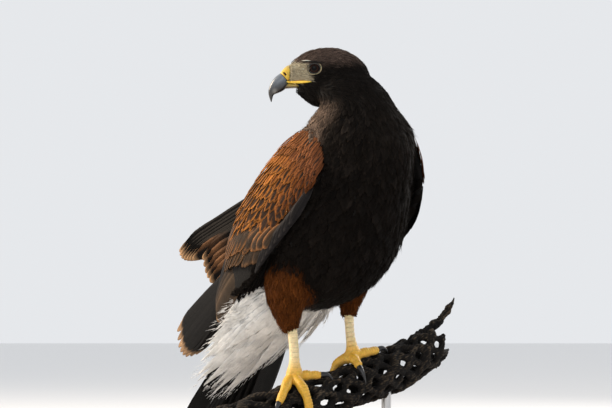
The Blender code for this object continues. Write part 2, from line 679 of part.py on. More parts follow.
def make_wing(name, hand, secondary_tips, secondary_roots):
    """Folded wing: core, coverts, secondaries and primaries."""
    pieces = [wing_core(hand)]
    pieces += flight_row(hand, PRIMARY_TIPS, PRIMARY_ROOTS, PRIMARIES, PRIMARY_WIDTH, -1.7, 4.0)
    pieces += flight_row(hand, LOWER_TIPS, LOWER_ROOTS, LOWER_FEATHERS, LOWER_WIDTH, 0.4, 5.0)
    pieces += flight_row(hand, secondary_tips, secondary_roots, SECONDARIES, SECONDARY_WIDTH, 0.4, 9.0,
                         SECONDARY_ROLL)
    pieces += covert_row(hand, GREATER_COVERT_TIPS, GREATER_COVERT_ROOTS, GREATER_COVERTS,
                         GREATER_COVERT_WIDTH, 2.6)
    pieces += covert_row(hand, EDGE_COVERT_TIPS[hand], EDGE_COVERT_ROOTS[hand], EDGE_COVERTS,
                         EDGE_COVERT_WIDTH, 2.4)
    return fuse(name, pieces)


# ---------------------------------------------------------------- tail and its coverts
def tail_point(back, side, dorsal=0.0):
    """Point at a distance back from the tail's root, in the tail's plane, raised by dorsal."""
    along = TAIL_ROOT[0] - back * math.cos(math.atan(TAIL_SLOPE))
    return body_point(along, side, TAIL_ROOT[1] + back * math.sin(math.atan(TAIL_SLOPE)) + dorsal)


def make_tail():
    """Twelve tail feathers, the middle pair uppermost, fused at their root."""
    half_root, half_middle, half_tip = TAIL_HALF_WIDTHS
    root_path = [tail_point(back, 0.0, -3.0) for back in (-8, 10, 32, 52)]
    pieces = [tube("tail_root", root_path, [15, 18, 17, 9], 12, flatten=0.42, flat_way=DORSAL)]
    for index in range(TAIL_FEATHERS):
        place = (index - (TAIL_FEATHERS - 1) / 2) / ((TAIL_FEATHERS - 1) / 2)
        rank = abs(index - (TAIL_FEATHERS - 1) / 2) - 0.5
        drop = -TAIL_STEP * rank - (0.7 if place > 0 else 0.0)
        root = tail_point(4.0, half_root * place, -3.0 + drop * 0.3)
        bend = tail_point(TAIL_LENGTH * 0.5, (2 * half_middle - 0.5 * (half_root + half_tip)) * place, drop)
        tip = tail_point(TAIL_LENGTH - 2.0 * rank, half_tip * place, drop)
        pieces.append(vane(root, bend, tip, TAIL_FEATHER_WIDTH, DORSAL, 1.0))
    return fuse("tail", pieces)


def make_under_coverts():
    """White plumes under the tail: a soft core with a fan of long tips."""
    path = [tail_point(back, side, dorsal) for back, side, dorsal in
            ((-6, 0, -24), (18, -1, -25), (45, -3, -22), (75, -5, -18.5), (100, -6, -15.5), (118, -8, -13.5))]
    pieces = [tube("under_core", path, [26, 36, 40, 38, 31, 20], 16, flatten=0.3, flat_way=DORSAL)]
    for index, share in enumerate(spread(0.0, 1.0, UNDER_COVERTS)):
        tip, root = along_row(UNDER_COVERT_TIPS, share), along_row(UNDER_COVERT_ROOTS, share)
        belly = (LEFT * (root[1] / 45.0) - DORSAL).normalized()
        step = 1.2 * (index % 2)
        root_place, tip_place = body_point(*root), body_point(*tip) + belly * step
        bend = (root_place + tip_place) / 2 + belly * (7.0 + step)
        pieces.append(vane(root_place, bend, tip_place, UNDER_COVERT_WIDTH, belly, 1.3))
    return fuse("undertail_coverts", pieces)


def make_upper_coverts():
    """White feathers over the root of the tail."""
    path = [tail_point(back, 0, dorsal) for back, dorsal in ((-14, 12), (8, 9.5), (28, 7.5), (44, 5.5))]
    core = tube("upper_core", path, [22, 25, 23, 14], 16, flatten=0.26, flat_way=DORSAL)
    pieces = [core]
    for place in spread(-1.0, 1.0, UPPER_COVERTS):
        tip_side, tip_along = along_row(UPPER_COVERT_TIPS, 0.5 + 0.5 * place)
        back = TAIL_ROOT[0] - tip_along
        drop = -0.75 * abs(place)
        root = tail_point(6.0, 16.0 * place, 10.0 + drop)
        tip = tail_point(back, tip_side, 4.6 + drop)
        bend = tail_point(back * 0.5, tip_side * 0.95, 9.8 + drop)
        pieces.append(vane(root, bend, tip, UPPER_COVERT_WIDTH, DORSAL, 1.3))
    return fuse("uppertail_coverts", pieces)


# ---------------------------------------------------------------- perch
def perch_frame(share):
    """Centre, radius, way along, way up and way to the front of the perch at a share of its length."""
    table = [(index / (len(PERCH_LINE) - 1), *centre, radius)
             for index, (centre, radius) in enumerate(PERCH_LINE)]
    x, y, z, radius = sample(table, share)
    ahead = Vector(sample(table, min(share + 0.02, 1.0))[:3])
    behind = Vector(sample(table, max(share - 0.02, 0.0))[:3])
    along = (ahead - behind).normalized()
    front = along.cross(UP).normalized()
    return Vector((x, y, z)), radius, along, front.cross(along), front


def perch_point(share, angle, out=0.0):
    """Point beside the perch: angle in degrees from its top towards the front, out from its bark."""
    centre, radius, _, upward, front = perch_frame(share)
    turn = math.radians(angle)
    return centre + (upward * math.cos(turn) + front * math.sin(turn)) * (radius + out)


def perch_share(place):
    """Share of the perch's length nearest to a place."""
    return min(spread(0.0, 1.0, 400), key=lambda share: (perch_frame(share)[0] - place).length)


def make_perch(rods, feet):
    """Hollow cholla wood with rows of oval holes, cleared of what touches it."""
    rings = []
    for level, share in enumerate(spread(0.0, 1.0, PERCH_LEVELS)):
        ring = []
        for index in range(PERCH_SIDES):
            angle = 360.0 * index / PERCH_SIDES
            ridge = RIDGE_HEIGHT * math.sin(math.radians(angle * RIDGES + level * RIDGE_TWIST))
            ring.append(perch_point(share, angle, ridge))
        rings.append(ring)
    perch = loft("perch", rings)
    start, _, start_way, _, _ = perch_frame(0.0)
    end, _, end_way, _, _ = perch_frame(1.0)
    path = [perch_frame(share)[0] for share in spread(0.0, 1.0, 7)]
    path = [start - start_way * BORE_OVERRUN] + path + [end + end_way * BORE_OVERRUN]
    boolean(perch, [tube("bore", path, [PERCH_BORE] * len(path), 8)], "DIFFERENCE")
    holes = []
    for row, share in enumerate(spread(*HOLE_REACH, HOLE_ROWS)):
        for place in range(HOLES_AROUND):
            angle = 360.0 * (place + 0.5 * (row % 2)) / HOLES_AROUND + HOLE_TURN
            holes.append(perch_hole(share, angle))
    boolean(perch, holes, "DIFFERENCE")
    path = [Vector(place) for place in SPLINTER]
    boolean(perch, [tube("splinter", path, SPLINTER_RADII, 7, flatten=0.7, flat_way=FORWARD)], "UNION")
    # The holed wall is cut many times over, and EXACT loses it where a toe's cut meets a hole
    return make_room(perch, *rods, *feet, solver="MANIFOLD")


def perch_hole(share, angle):
    """Oval cutter through the perch's wall."""
    _, radius, along, _, _ = perch_frame(share)
    inner, outer = perch_point(share, angle, -radius * 0.62), perch_point(share, angle, 6.0)
    across = (outer - inner).normalized().cross(along).normalized()
    rings = [ellipse_ring(centre, along, across, HOLE_LENGTH / 2 * swell, HOLE_WIDTH / 2 * swell, 6)
             for centre, swell in ((inner, 0.85), (outer, 1.1))]
    return loft("hole", rings)


# ---------------------------------------------------------------- legs
def round_path(name, stations, sides):
    """Round limb through stations of centre and radius."""
    table = [(index / (len(stations) - 1), *centre, radius)
             for index, (centre, radius) in enumerate(stations)]
    values = [sample(table, share) for share in spread(0.0, 1.0, len(stations) + 2)]
    return tube(name, [Vector(value[:3]) for value in values], [value[3] for value in values], sides,
                flat_way=FORWARD)


def toe_path(foot_share, root, tip, count, out):
    """Places along a toe that lies over the perch."""
    length = sum((Vector(b[0]) - Vector(a[0])).length for a, b in zip(PERCH_LINE, PERCH_LINE[1:]))
    path = []
    for share in spread(0.0, 1.0, count):
        along = (root[0] + (tip[0] - root[0]) * share) / length
        angle = root[1] + (tip[1] - root[1]) * share
        path.append(perch_point(foot_share + along, angle, out[0] + (out[1] - out[0]) * share ** 0.6))
    return path


def make_foot(side):
    """Four toes that grip the perch, fused at the foot, and their claws."""
    foot = Vector(TARSI[side][-1][0])
    share = perch_share(foot)
    pieces = [ball("pad", foot + Vector((0, 0, -1.0)), (9.2, 9.2, 6.0), segments=10, rings=6)]
    claws = []
    for name, root, tip, claw_length in TOES[side]:
        path = toe_path(share, root, tip, len(TOE_RADII), (5.6, 3.9))
        path[0] = path[0].lerp(foot, 0.5)
        way = perch_frame(share)[2]
        pieces.append(tube("toe", path, TOE_RADII, 7, flat_way=toe_flat_way(path, way)))
        claws.append(make_claw(f"claw_{side}_{name}", path, share, root, tip, claw_length))
    return fuse(f"foot_{side}", pieces), claws


def toe_flat_way(path, way):
    """A direction that is never along the toe."""
    tangent = (path[-1] - path[0]).normalized()
    return way if abs(tangent.dot(way)) < 0.7 else UP


def make_claw(name, toe, share, root, tip, length):
    """Curved, pointed claw that starts flat against the toe's end."""
    end = toe[-1]
    way = (toe[-1] - toe[-2]).normalized()
    inward = (perch_frame(share)[0] - end)
    inward = (inward - way * inward.dot(way)).normalized()
    lift = -inward
    path, radii = [], []
    for step in spread(0.0, 1.0, 6):
        bend = math.radians(75) * step
        reach = length * math.sin(bend) / math.radians(75)
        drop = length * (1 - math.cos(bend)) / math.radians(75)
        rise = 1.6 * math.sin(math.pi * step) + 0.2 - drop * 0.75
        path.append(end + way * (GAP + reach) + lift * rise)
        radii.append(CLAW_RADIUS * (1 - step) ** 0.7 + 0.25)
    return tube(name, path, radii, 7, flat_way=way.cross(inward))


# ---------------------------------------------------------------- stand
def make_base():
    """Round plate with chamfered edges."""
    heights = ((0.0, BASE_RADIUS - BASE_CHAMFER), (BASE_CHAMFER, BASE_RADIUS),
               (BASE_THICKNESS - BASE_CHAMFER, BASE_RADIUS), (BASE_THICKNESS, BASE_RADIUS - BASE_CHAMFER))
    east, north = Vector((1, 0, 0)), Vector((0, 1, 0))
    rings = [ellipse_ring(Vector((*BASE_CENTRE, height)), east, north, radius, radius, BASE_SIDES)
             for height, radius in heights]
    return loft("stand_base", rings)


def make_rods():
    """Upright rods from the base into the perch's underside."""
    rods = []
    for index, share in enumerate(ROD_STATIONS):
        centre, radius, _, _, _ = perch_frame(share)
        top = centre.z - radius + ROD_SINK
        foot = Vector((centre.x, centre.y, BASE_THICKNESS + GAP))
        path = [foot, Vector((centre.x, centre.y, top))]
        rods.append(tube(f"stand_rod_{index + 1}", path, [ROD_RADIUS] * 2, 16, flat_way=FORWARD))
    return rods


# ---------------------------------------------------------------- assembly
def main():
    for old in list(bpy.data.objects):
        bpy.data.objects.remove(old)

    brown = (0.035, 0.022, 0.016)
    rufous = (0.28, 0.085, 0.022)
    black = (0.012, 0.011, 0.012)
    white = (0.78, 0.76, 0.72)
    yellow = (0.78, 0.52, 0.09)
    horn = (0.015, 0.017, 0.022)

    bill_lower = make_bill("bill_lower", LOWER_BILL_STATIONS, 6, 10)
    head = make_room(make_head(), bill_lower)
    finish(head, brown, 0.85)
    torso = make_room(make_torso(), head)
    finish(torso, brown, 0.85)
    finish(make_neck(head), brown, 0.85)
    for name, side in (("eye_left", 1), ("eye_right", -1)):
        finish(ball(name, eye_centre(side), [EYE_RADIUS] * 3, None, 12, 8), (0.05, 0.018, 0.008), 0.08)
    finish(make_cere(), yellow, 0.45)
    bill_upper = make_bill("bill_upper", UPPER_BILL_STATIONS, 9)
    finish(make_room(bill_upper, bill_lower), (0.10, 0.12, 0.15), 0.3)
    finish(bill_lower, (0.45, 0.38, 0.14), 0.4)

    thighs = [round_path(f"thigh_{side}", stations, 16) for side, stations in THIGHS.items()]
    tarsi = [round_path(f"tarsus_{side}", stations, 10) for side, stations in TARSI.items()]
    for thigh, tarsus in zip(thighs, tarsi):
        make_room(thigh, torso, tarsus)
        finish(thigh, rufous, 0.85)

    wings = []
    for name, hand, tips, roots in (("wing_left", 1, SECONDARY_TIPS_LEFT, SECONDARY_ROOTS_LEFT),
                                    ("wing_right", -1, SECONDARY_TIPS_RIGHT, SECONDARY_ROOTS_RIGHT)):
        wing = make_room(make_wing(name, hand, tips, roots), torso, *thighs)
        finish(wing, (0.10, 0.045, 0.02), 0.75)
        wings.append(wing)

    tail = make_room(make_tail(), torso)
    finish(tail, black, 0.6)
    under = make_room(make_under_coverts(), torso, tail, *thighs, *wings)
    finish(under, white, 0.9)
    finish(make_room(make_upper_coverts(), torso, tail, *wings), white, 0.9)

    feet, claws = [], []
    for side, tarsus in zip(TARSI, tarsi):
        foot, toe_claws = make_foot(side)
        make_room(foot, tarsus)
        finish(tarsus, yellow, 0.5)
        feet.append(foot)
        claws += toe_claws
    for side, foot in zip(TARSI, feet):
        make_room(foot, *[claw for claw in claws if claw.name.startswith(f"claw_{side}_")])
        finish(foot, yellow, 0.5)
    for claw in claws:
        finish(claw, horn, 0.3)

    rods = make_rods()
    for rod in rods:
        finish(rod, (0.55, 0.55, 0.56), 0.3, 1.0)
    finish(make_perch(rods, tarsi + feet + claws), (0.09, 0.06, 0.04), 0.9)
    finish(make_base(), (0.06, 0.035, 0.02), 0.4)


main()
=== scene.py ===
"""Looks of the perched Harris's hawk: plumage vane by vane, horn, scaly feet, dead wood and stand.

Lengths are millimetres until a mesh is made. The bird's body has its own axes: "along" runs from
tail to neck, "side" to the bird's left and "dorsal" to its back. The head's axes are "forward"
along the bill, "side" and "height".
"""
import math

import bmesh
import bpy
import numpy as np
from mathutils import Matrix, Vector
from mathutils.bvhtree import BVHTree
from mathutils.kdtree import KDTree


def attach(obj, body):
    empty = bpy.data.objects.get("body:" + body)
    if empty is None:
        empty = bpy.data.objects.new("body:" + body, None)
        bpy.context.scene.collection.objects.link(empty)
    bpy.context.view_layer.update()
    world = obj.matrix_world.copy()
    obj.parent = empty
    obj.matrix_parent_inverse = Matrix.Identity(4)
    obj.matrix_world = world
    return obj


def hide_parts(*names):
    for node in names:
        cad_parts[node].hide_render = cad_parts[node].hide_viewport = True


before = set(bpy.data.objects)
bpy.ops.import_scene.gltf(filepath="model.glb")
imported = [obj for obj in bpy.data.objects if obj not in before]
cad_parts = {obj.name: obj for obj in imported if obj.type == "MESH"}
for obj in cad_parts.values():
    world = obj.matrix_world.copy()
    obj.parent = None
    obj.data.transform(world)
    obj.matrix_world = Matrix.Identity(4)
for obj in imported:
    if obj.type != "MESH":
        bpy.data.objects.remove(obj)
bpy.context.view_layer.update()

MM = 0.001
SAME_PLACE = 1e-6                # metres within which the points of a ring's middle are one
SEED = 7
RANDOM = np.random.default_rng(SEED)
UP = np.array((0.0, 0.0, 1.0))
SIDES = ((1, "left"), (-1, "right"))

# ---- Pose, as in the solids ----
HEADING, PITCH, HEAD_YAW = math.radians(42.0), math.radians(61.0), math.radians(6.0)
BODY_CENTRE = np.array((17.7, 0.0, 284.0))
HEAD_CENTRE = np.array((22.7, -25.0, 417.8))
FORWARD = np.array((math.sin(HEADING), -math.cos(HEADING), 0.0))
LEFT = np.array((math.cos(HEADING), math.sin(HEADING), 0.0))
AXIS = FORWARD * math.cos(PITCH) + UP * math.sin(PITCH)
DORSAL = UP * math.cos(PITCH) - FORWARD * math.sin(PITCH)
BILL_WAY = np.array((-math.cos(HEAD_YAW), -math.sin(HEAD_YAW), 0.0))
HEAD_LEFT = np.cross(UP, BILL_WAY)

# ---- Plumage colours, linear ----
# Breast and belly: partly their own dark brown, partly painted shade that darkens it further
DARK, DARK_EDGE = (0.0055, 0.0042, 0.0035), (0.0120, 0.0088, 0.0068)
NECK_BROWN, NECK_EDGE = (0.0125, 0.0098, 0.0080), (0.0270, 0.0205, 0.0160)
HEAD_BROWN, HEAD_EDGE = (0.0100, 0.0085, 0.0075), (0.0280, 0.0220, 0.0185)
# Crown and mantle: the plumage's dark brown painted paler as painted sunlight from behind
SUNLIT_CROWN, SUNLIT_CROWN_EDGE = (0.0860, 0.0570, 0.0460), (0.2500, 0.1800, 0.1450)
SUNLIT_MANTLE, SUNLIT_MANTLE_EDGE = (0.1300, 0.0900, 0.0670), (0.4200, 0.2900, 0.2050)
# Shaded and sunlit copies of the coverts' rufous: painted shade and painted sunlight
COVERT_SHADE, COVERT_SHADE_EDGE = (0.070, 0.0185, 0.0050), (0.130, 0.038, 0.0090)
COVERT_SUN, COVERT_SUN_EDGE = (0.285, 0.088, 0.0170), (0.600, 0.235, 0.0540)
DULL_RED, DULL_RED_EDGE = (0.150, 0.050, 0.0210), (0.260, 0.102, 0.0480)
THIGH, THIGH_EDGE = (0.080, 0.0230, 0.0048), (0.185, 0.0580, 0.0120)
GREY_BROWN, GREY_BROWN_EDGE = (0.030, 0.020, 0.013), (0.170, 0.085, 0.036)
SLATE, SLATE_EDGE = (0.0085, 0.0075, 0.0080), (0.022, 0.019, 0.019)
BLACK, BLACK_EDGE = (0.0034, 0.0030, 0.0030), (0.0080, 0.0060, 0.0048)
COVERT_RIM = (0.330, 0.140, 0.048)
# Paler brown painted as sunlight on some flight feathers, and a warm rim of painted backlight on their
# edges
LIT_BROWN, LIT_BROWN_EDGE = (0.036, 0.024, 0.015), (0.095, 0.060, 0.034)
BUFF = (0.400, 0.240, 0.125)
BACKLIT_RIM = (0.230, 0.105, 0.045)
PRIMARY_TIP = (0.270, 0.165, 0.090)
WHITE, WHITE_EDGE = (0.880, 0.860, 0.820), (0.930, 0.920, 0.900)
LORES, LORES_EDGE = (0.700, 0.600, 0.410), (0.860, 0.770, 0.570)


# ---------------------------------------------------------------- numbers and places
def unit(vectors):
    """Vectors at length one."""
    return vectors / np.maximum(np.linalg.norm(vectors, axis=-1, keepdims=True), 1e-9)


def full_turn(count):
    """Angles evenly spread over a full turn."""
    return 2 * math.pi * np.arange(count) / count


def varied(by, shape):
    """Random factors round one, that differ by about a share."""
    return np.exp(by * RANDOM.standard_normal(shape))


def ramp(low, high, value):
    """Smooth step from 0 at low to 1 at high."""
    share = np.clip((np.asarray(value, float) - low) / (high - low), 0.0, 1.0)
    return share * share * (3.0 - 2.0 * share)


def in_world(centre, axes, *offsets):
    """World places of points that have offsets from a centre along three axes."""
    first, second, third = (offset[..., None] for offset in np.broadcast_arrays(*offsets))
    return centre + first * axes[0] + second * axes[1] + third * axes[2]


def body_place(along, side, dorsal):
    """World places of points in the body's axes."""
    return in_world(BODY_CENTRE, (AXIS, LEFT, DORSAL), along, side, dorsal)


def in_body(points):
    """Along, side and dorsal of world points."""
    away = points - BODY_CENTRE
    return away @ AXIS, away @ LEFT, away @ DORSAL


def head_place(ahead, side, height):
    """World places of points in the head's axes."""
    return in_world(HEAD_CENTRE, (BILL_WAY, HEAD_LEFT, UP), ahead, side, height)


def in_head(points):
    """Forward, side and height of world points, in the head's axes."""
    away = points - HEAD_CENTRE
    return away @ BILL_WAY, away @ HEAD_LEFT, away @ UP


def table_at(stations, where):
    """Smooth rows of values at places of a table whose rows start with their place."""
    rows = np.array(sorted(stations), float)
    keys, values = rows[:, 0], rows[:, 1:]
    where = np.clip(np.asarray(where, float), keys[0], keys[-1])
    low = np.clip(np.searchsorted(keys, where, side="right") - 1, 0, len(keys) - 2)
    high, before, after = low + 1, np.maximum(low - 1, 0), np.minimum(low + 2, len(keys) - 1)
    span = (keys[high] - keys[low])[..., None]
    t = (where - keys[low])[..., None] / span
    slope_low = (values[high] - values[before]) / (keys[high] - keys[before])[..., None] * span
    slope_high = (values[after] - values[low]) / (keys[after] - keys[low])[..., None] * span
    return ((2 * t ** 3 - 3 * t ** 2 + 1) * values[low] + (t ** 3 - 2 * t ** 2 + t) * slope_low
            + (3 * t ** 2 - 2 * t ** 3) * values[high] + (t ** 3 - t ** 2) * slope_high)


def row_at(points, share):
    """Smooth points at shares, from 0 to 1, of a row of evenly spaced points."""
    last = len(points) - 1
    return table_at([(index / last, *point) for index, point in enumerate(points)], share)


def towards(value, target, share):
    """Numbers moved from a value towards a target by a share."""
    return value + (target - value) * share


def mixed(first, second, share):
    """Colours or vectors between two, at a share for each element."""
    return towards(np.asarray(first), np.asarray(second), np.asarray(share)[..., None])


def along_surface(ways, normals):
    """Directions without their part along the normals."""
    return unit(ways - normals * (ways * normals).sum(1, keepdims=True))


def search_tree(points):
    """Tree in which the nearest of the points is found."""
    tree = KDTree(len(points))
    for index, point in enumerate(points):
        tree.insert(Vector(point), index)
    tree.balance()
    return tree


def nearest_of(points, places):
    """Index of the nearest of the points, for each place."""
    tree = search_tree(points)
    return np.array([tree.find(Vector(place))[1] for place in places])


# ---------------------------------------------------------------- meshes
def in_scene(name, data):
    """New object in the scene that shows the data."""
    made = bpy.data.objects.new(name, data)
    bpy.context.scene.collection.objects.link(made)
    return made


def mesh_object(name, points, faces, maps=None):
    """Smooth object from points in millimetres and faces of equal size; maps are UV maps by vertex."""
    faces = np.asarray(faces, np.int32)
    mesh = bpy.data.meshes.new(name)
    mesh.vertices.add(len(points))
    mesh.vertices.foreach_set("co", (np.asarray(points) * MM).astype(np.float32).ravel())
    mesh.loops.add(faces.size)
    mesh.loops.foreach_set("vertex_index", faces.ravel())
    mesh.polygons.add(len(faces))
    mesh.polygons.foreach_set("loop_start", np.arange(len(faces), dtype=np.int32) * faces.shape[1])
    mesh.update(calc_edges=True)
    for map_name, places in (maps or {}).items():
        layer = mesh.uv_layers.new(name=map_name)
        layer.data.foreach_set("uv", places[faces.ravel()].astype(np.float32).ravel())
    mesh.shade_smooth()
    return in_scene(name, mesh)


def paint(mesh, tint):
    """Write a linear colour for each vertex."""
    layer = mesh.color_attributes.new("Tint", "FLOAT_COLOR", "POINT")
    colours = np.ones((len(tint), 4), np.float32)
    colours[:, :3] = tint
    layer.data.foreach_set("color", colours.ravel())


def vertex_arrays(made):
    """Places in millimetres and normals of an object's vertices."""
    count = len(made.data.vertices)
    places, normals = np.zeros(count * 3, np.float32), np.zeros(count * 3, np.float32)
    made.data.vertices.foreach_get("co", places)
    made.data.vertex_normals.foreach_get("vector", normals)
    return places.reshape(-1, 3) / MM, normals.reshape(-1, 3)


def set_places(made, places):
    """Move an object's vertices to places in millimetres."""
    made.data.vertices.foreach_set("co", (places * MM).astype(np.float32).ravel())
    made.data.update()


def join(name, parts):
    """One object from several, without their materials."""
    shape = bmesh.new()
    for part in parts:
        shape.from_mesh(part.data)
    mesh = bpy.data.meshes.new(name)
    shape.to_mesh(mesh)
    shape.free()
    for part in parts:
        bpy.data.objects.remove(part)
    return in_scene(name, mesh)


def remeshed(made, voxel, rounds):
    """Fuse an object's overlapping bodies into one even, smoothed surface."""
    modifier = made.modifiers.new("remesh", "REMESH")
    modifier.mode = "VOXEL"
    modifier.voxel_size = voxel * MM
    modifier.use_smooth_shade = True
    soften = made.modifiers.new("soften", "SMOOTH")
    soften.factor = 0.5
    soften.iterations = rounds
    graph = bpy.context.evaluated_depsgraph_get()
    mesh = bpy.data.meshes.new_from_object(made.evaluated_get(graph))
    made.modifiers.clear()
    made.data = mesh
    mesh.shade_smooth()
    return made


def grid_faces(rows, columns, closed=False):
    """Faces of a grid of points, joined round its columns where closed."""
    across = columns if closed else columns - 1
    row, column = np.meshgrid(np.arange(rows - 1), np.arange(across), indexing="ij")
    here = row * columns + column
    beside = row * columns + (column + 1) % columns
    return np.stack((here, beside, beside + columns, here + columns), -1).reshape(-1, 4)


def capped_tube(name, rings):
    """Closed object from rings of equal count, whose ends are drawn in to a point."""
    rings = np.asarray(rings, float)
    first, last = (np.broadcast_to(ring.mean(0), rings[:1].shape) for ring in (rings[0], rings[-1]))
    rings = np.concatenate((first, rings, last))
    made = mesh_object(name, rings.reshape(-1, 3), grid_faces(len(rings), rings.shape[1], True))
    shape = bmesh.new()
    shape.from_mesh(made.data)
    bmesh.ops.remove_doubles(shape, verts=shape.verts, dist=SAME_PLACE)
    bmesh.ops.recalc_face_normals(shape, faces=shape.faces)
    shape.to_mesh(made.data)
    shape.free()
    made.data.shade_smooth()
    return made


def rings_along(path, radii, sides, flat_way=UP, flatten=1.0):
    """Rings round a path, pressed flat along flat_way."""
    path = np.asarray(path, float)
    tangents = unit(np.gradient(path, axis=0))
    across = unit(np.cross(tangents, flat_way))
    upward = np.cross(across, tangents)
    angles = full_turn(sides)[None, :, None]
    reach = np.broadcast_to(radii, len(path))[:, None, None]
    return (path[:, None] + across[:, None] * (np.cos(angles) * reach)
            + upward[:, None] * (np.sin(angles) * reach * flatten))


# ---------------------------------------------------------------- vanes
# Outlines of vanes: share of the length, share of the width
CONTOUR = ((0.0, 0.30), (0.25, 0.78), (0.55, 1.0), (0.8, 0.92), (1.0, 0.52))
FLIGHT = ((0.0, 0.22), (0.10, 0.52), (0.30, 0.92), (0.60, 1.0), (0.88, 0.93), (0.95, 0.80), (1.0, 0.50))
PLUME = ((0.0, 0.20), (0.2, 0.72), (0.5, 1.0), (0.75, 0.72), (1.0, 0.16))
SOFT = ((0.0, 0.34), (0.25, 0.80), (0.52, 1.0), (0.78, 0.86), (1.0, 0.42))
COVERT = ((0.0, 0.30), (0.22, 0.78), (0.50, 1.0), (0.78, 0.96), (0.92, 0.74), (1.0, 0.34))

# Cuts of vanes for the kinds of feathers, as vanes() takes them
BODY_CUT = dict(outline=SOFT, camber=0.07, tip=0.22, fringe=0.24)
SMALL_COVERT_CUT = dict(columns=9, outline=COVERT, camber=0.05, tip=0.10, fringe=0.10)
GREATER_COVERT_CUT = dict(columns=11, outline=COVERT, camber=0.05, tip=0.05, thick=0.4, ragged=0.03,
                          fringe=0.05)
EDGE_COVERT_CUT = dict(columns=9, outline=CONTOUR, camber=0.05, tip=0.14, thick=0.4, ragged=0.03)
FLIGHT_CUT = dict(columns=11, outline=FLIGHT, camber=0.045, tip=0.07, thick=0.7, ragged=0.015)
TAIL_CUT = dict(columns=11, outline=FLIGHT, camber=0.03, tip=0.05, thick=0.7, ragged=0.02)
UNDER_COVERT_CUT = dict(columns=11, outline=PLUME, camber=0.05, tip=0.14, thick=0.4, ragged=0.05,
                        fringe=0.18)
OVER_COVERT_CUT = dict(columns=9, outline=PLUME, camber=0.07, tip=0.14, thick=0.4, ragged=0.09,
                       fringe=0.20)

RIM = 0.99                       # beyond this share of a vane lies its rim
PATCH = 0.0015                   # size of a feather on the bake map
DARKEST, PALEST = 0.002, 0.95    # limits of a painted tint


def vanes(name, lines, outwards, widths, colour, material, slot, unwrap, columns, outline,
          camber, tip, thick=0.25, ragged=0.06, shaft=0.0, fringe=0.0):
    """Joined thin, closed feather vanes along centre lines.

    Camber bends the sides down and tip draws them back towards the root. Ragged makes the rim
    uneven, shaft moves the quill off the middle, and fringe parts the rim into loose barbs.
    """
    count, rows, _ = lines.shape
    steps = np.linalg.norm(np.diff(lines, axis=1), axis=-1)
    length = steps.sum(1)
    share = np.concatenate(((0.0,), (np.cumsum(steps, axis=1) / length[:, None]).mean(0)))
    tangents = unit(np.gradient(lines, axis=1))
    across = unit(np.cross(tangents, outwards))
    outwards = np.cross(across, tangents)
    u = np.linspace(-1.0, 1.0, columns)
    u_grid, v_grid = np.meshgrid(u, share)
    half = 0.5 * widths[:, None] * np.interp(share, *np.array(outline).T)[None, :]
    at_side, at_tip = np.abs(u_grid) > RIM, v_grid > RIM
    grid = (count, rows, columns)
    wobble = 1.0 + ragged * RANDOM.standard_normal(grid) * (at_side | at_tip)
    parted = RANDOM.uniform(0.5, 1.5, grid) * at_tip * (np.arange(columns) % 2)[None, None, :]
    notched = (np.arange(rows) % 2)[None, :, None] * at_side
    wobble = wobble - 0.5 * fringe * notched * RANDOM.uniform(0.5, 1.5, grid)
    reach = half[..., None] * (u_grid + shaft * (1 - u_grid ** 2)) * wobble
    loose = fringe * parted - 0.5 * ragged * RANDOM.standard_normal(grid) * at_tip
    pull = v_grid ** 3 * tip * np.abs(u_grid) ** 2.2 * length[:, None, None]
    pull = pull + loose * widths[:, None, None]
    middle = (lines[:, :, None] + across[:, :, None] * reach[..., None]
              - tangents[:, :, None] * pull[..., None]
              - outwards[:, :, None] * (camber * widths[:, None, None] * u_grid ** 2)[..., None])
    depth = 0.5 * thick * (1 - u_grid ** 2) * (1 - 0.5 * v_grid)
    lift = outwards[:, :, None] * depth[None, :, :, None]
    top, bottom = middle + lift, (middle - lift)[:, 1:-1, 1:-1]
    points = np.concatenate((top.reshape(count, -1, 3), bottom.reshape(count, -1, 3)), 1)
    above = grid_faces(rows, columns)
    number = np.arange(rows * columns).reshape(rows, columns)
    inner = number[1:-1, 1:-1]
    number[1:-1, 1:-1] = rows * columns + np.arange(inner.size).reshape(inner.shape)
    below = number.ravel()[above][:, (0, 3, 2, 1)]
    u_all, v_all = (np.concatenate((value.ravel(), value[1:-1, 1:-1].ravel()))[None, :]
                    for value in (u_grid, v_grid))
    return feathered(name, points, np.concatenate((above, below)), u_all, v_all, lines[:, 0], widths,
                     length, colour, material, slot, unwrap)


def feathered(name, points, faces, u, v, roots, widths, lengths, colour, material, slot, unwrap):
    """Piece of equal feathers from the points of each and the faces of one.

    Its vertices carry the tint, the place on the vane in millimetres and a place on the bake map.
    """
    count, size, _ = points.shape
    every_face = (faces[None] + (np.arange(count) * size)[:, None, None]).reshape(-1, 4)
    tint = np.broadcast_to(colour(u, v, points), points.shape).reshape(-1, 3)
    vane = np.stack(np.broadcast_arrays(u * widths[:, None] / 2, v * lengths[:, None]), -1)
    patch = unwrap(roots)[:, None] + PATCH * np.stack(np.broadcast_arrays(u, 2 * v - 1), -1)
    maps = {"Vane": vane.reshape(-1, 2), "OFBake": patch.reshape(-1, 2)}
    made = mesh_object(name, points.reshape(-1, 3), every_face, maps)
    return dress(made, material, slot, tint=np.clip(tint, DARKEST, PALEST))


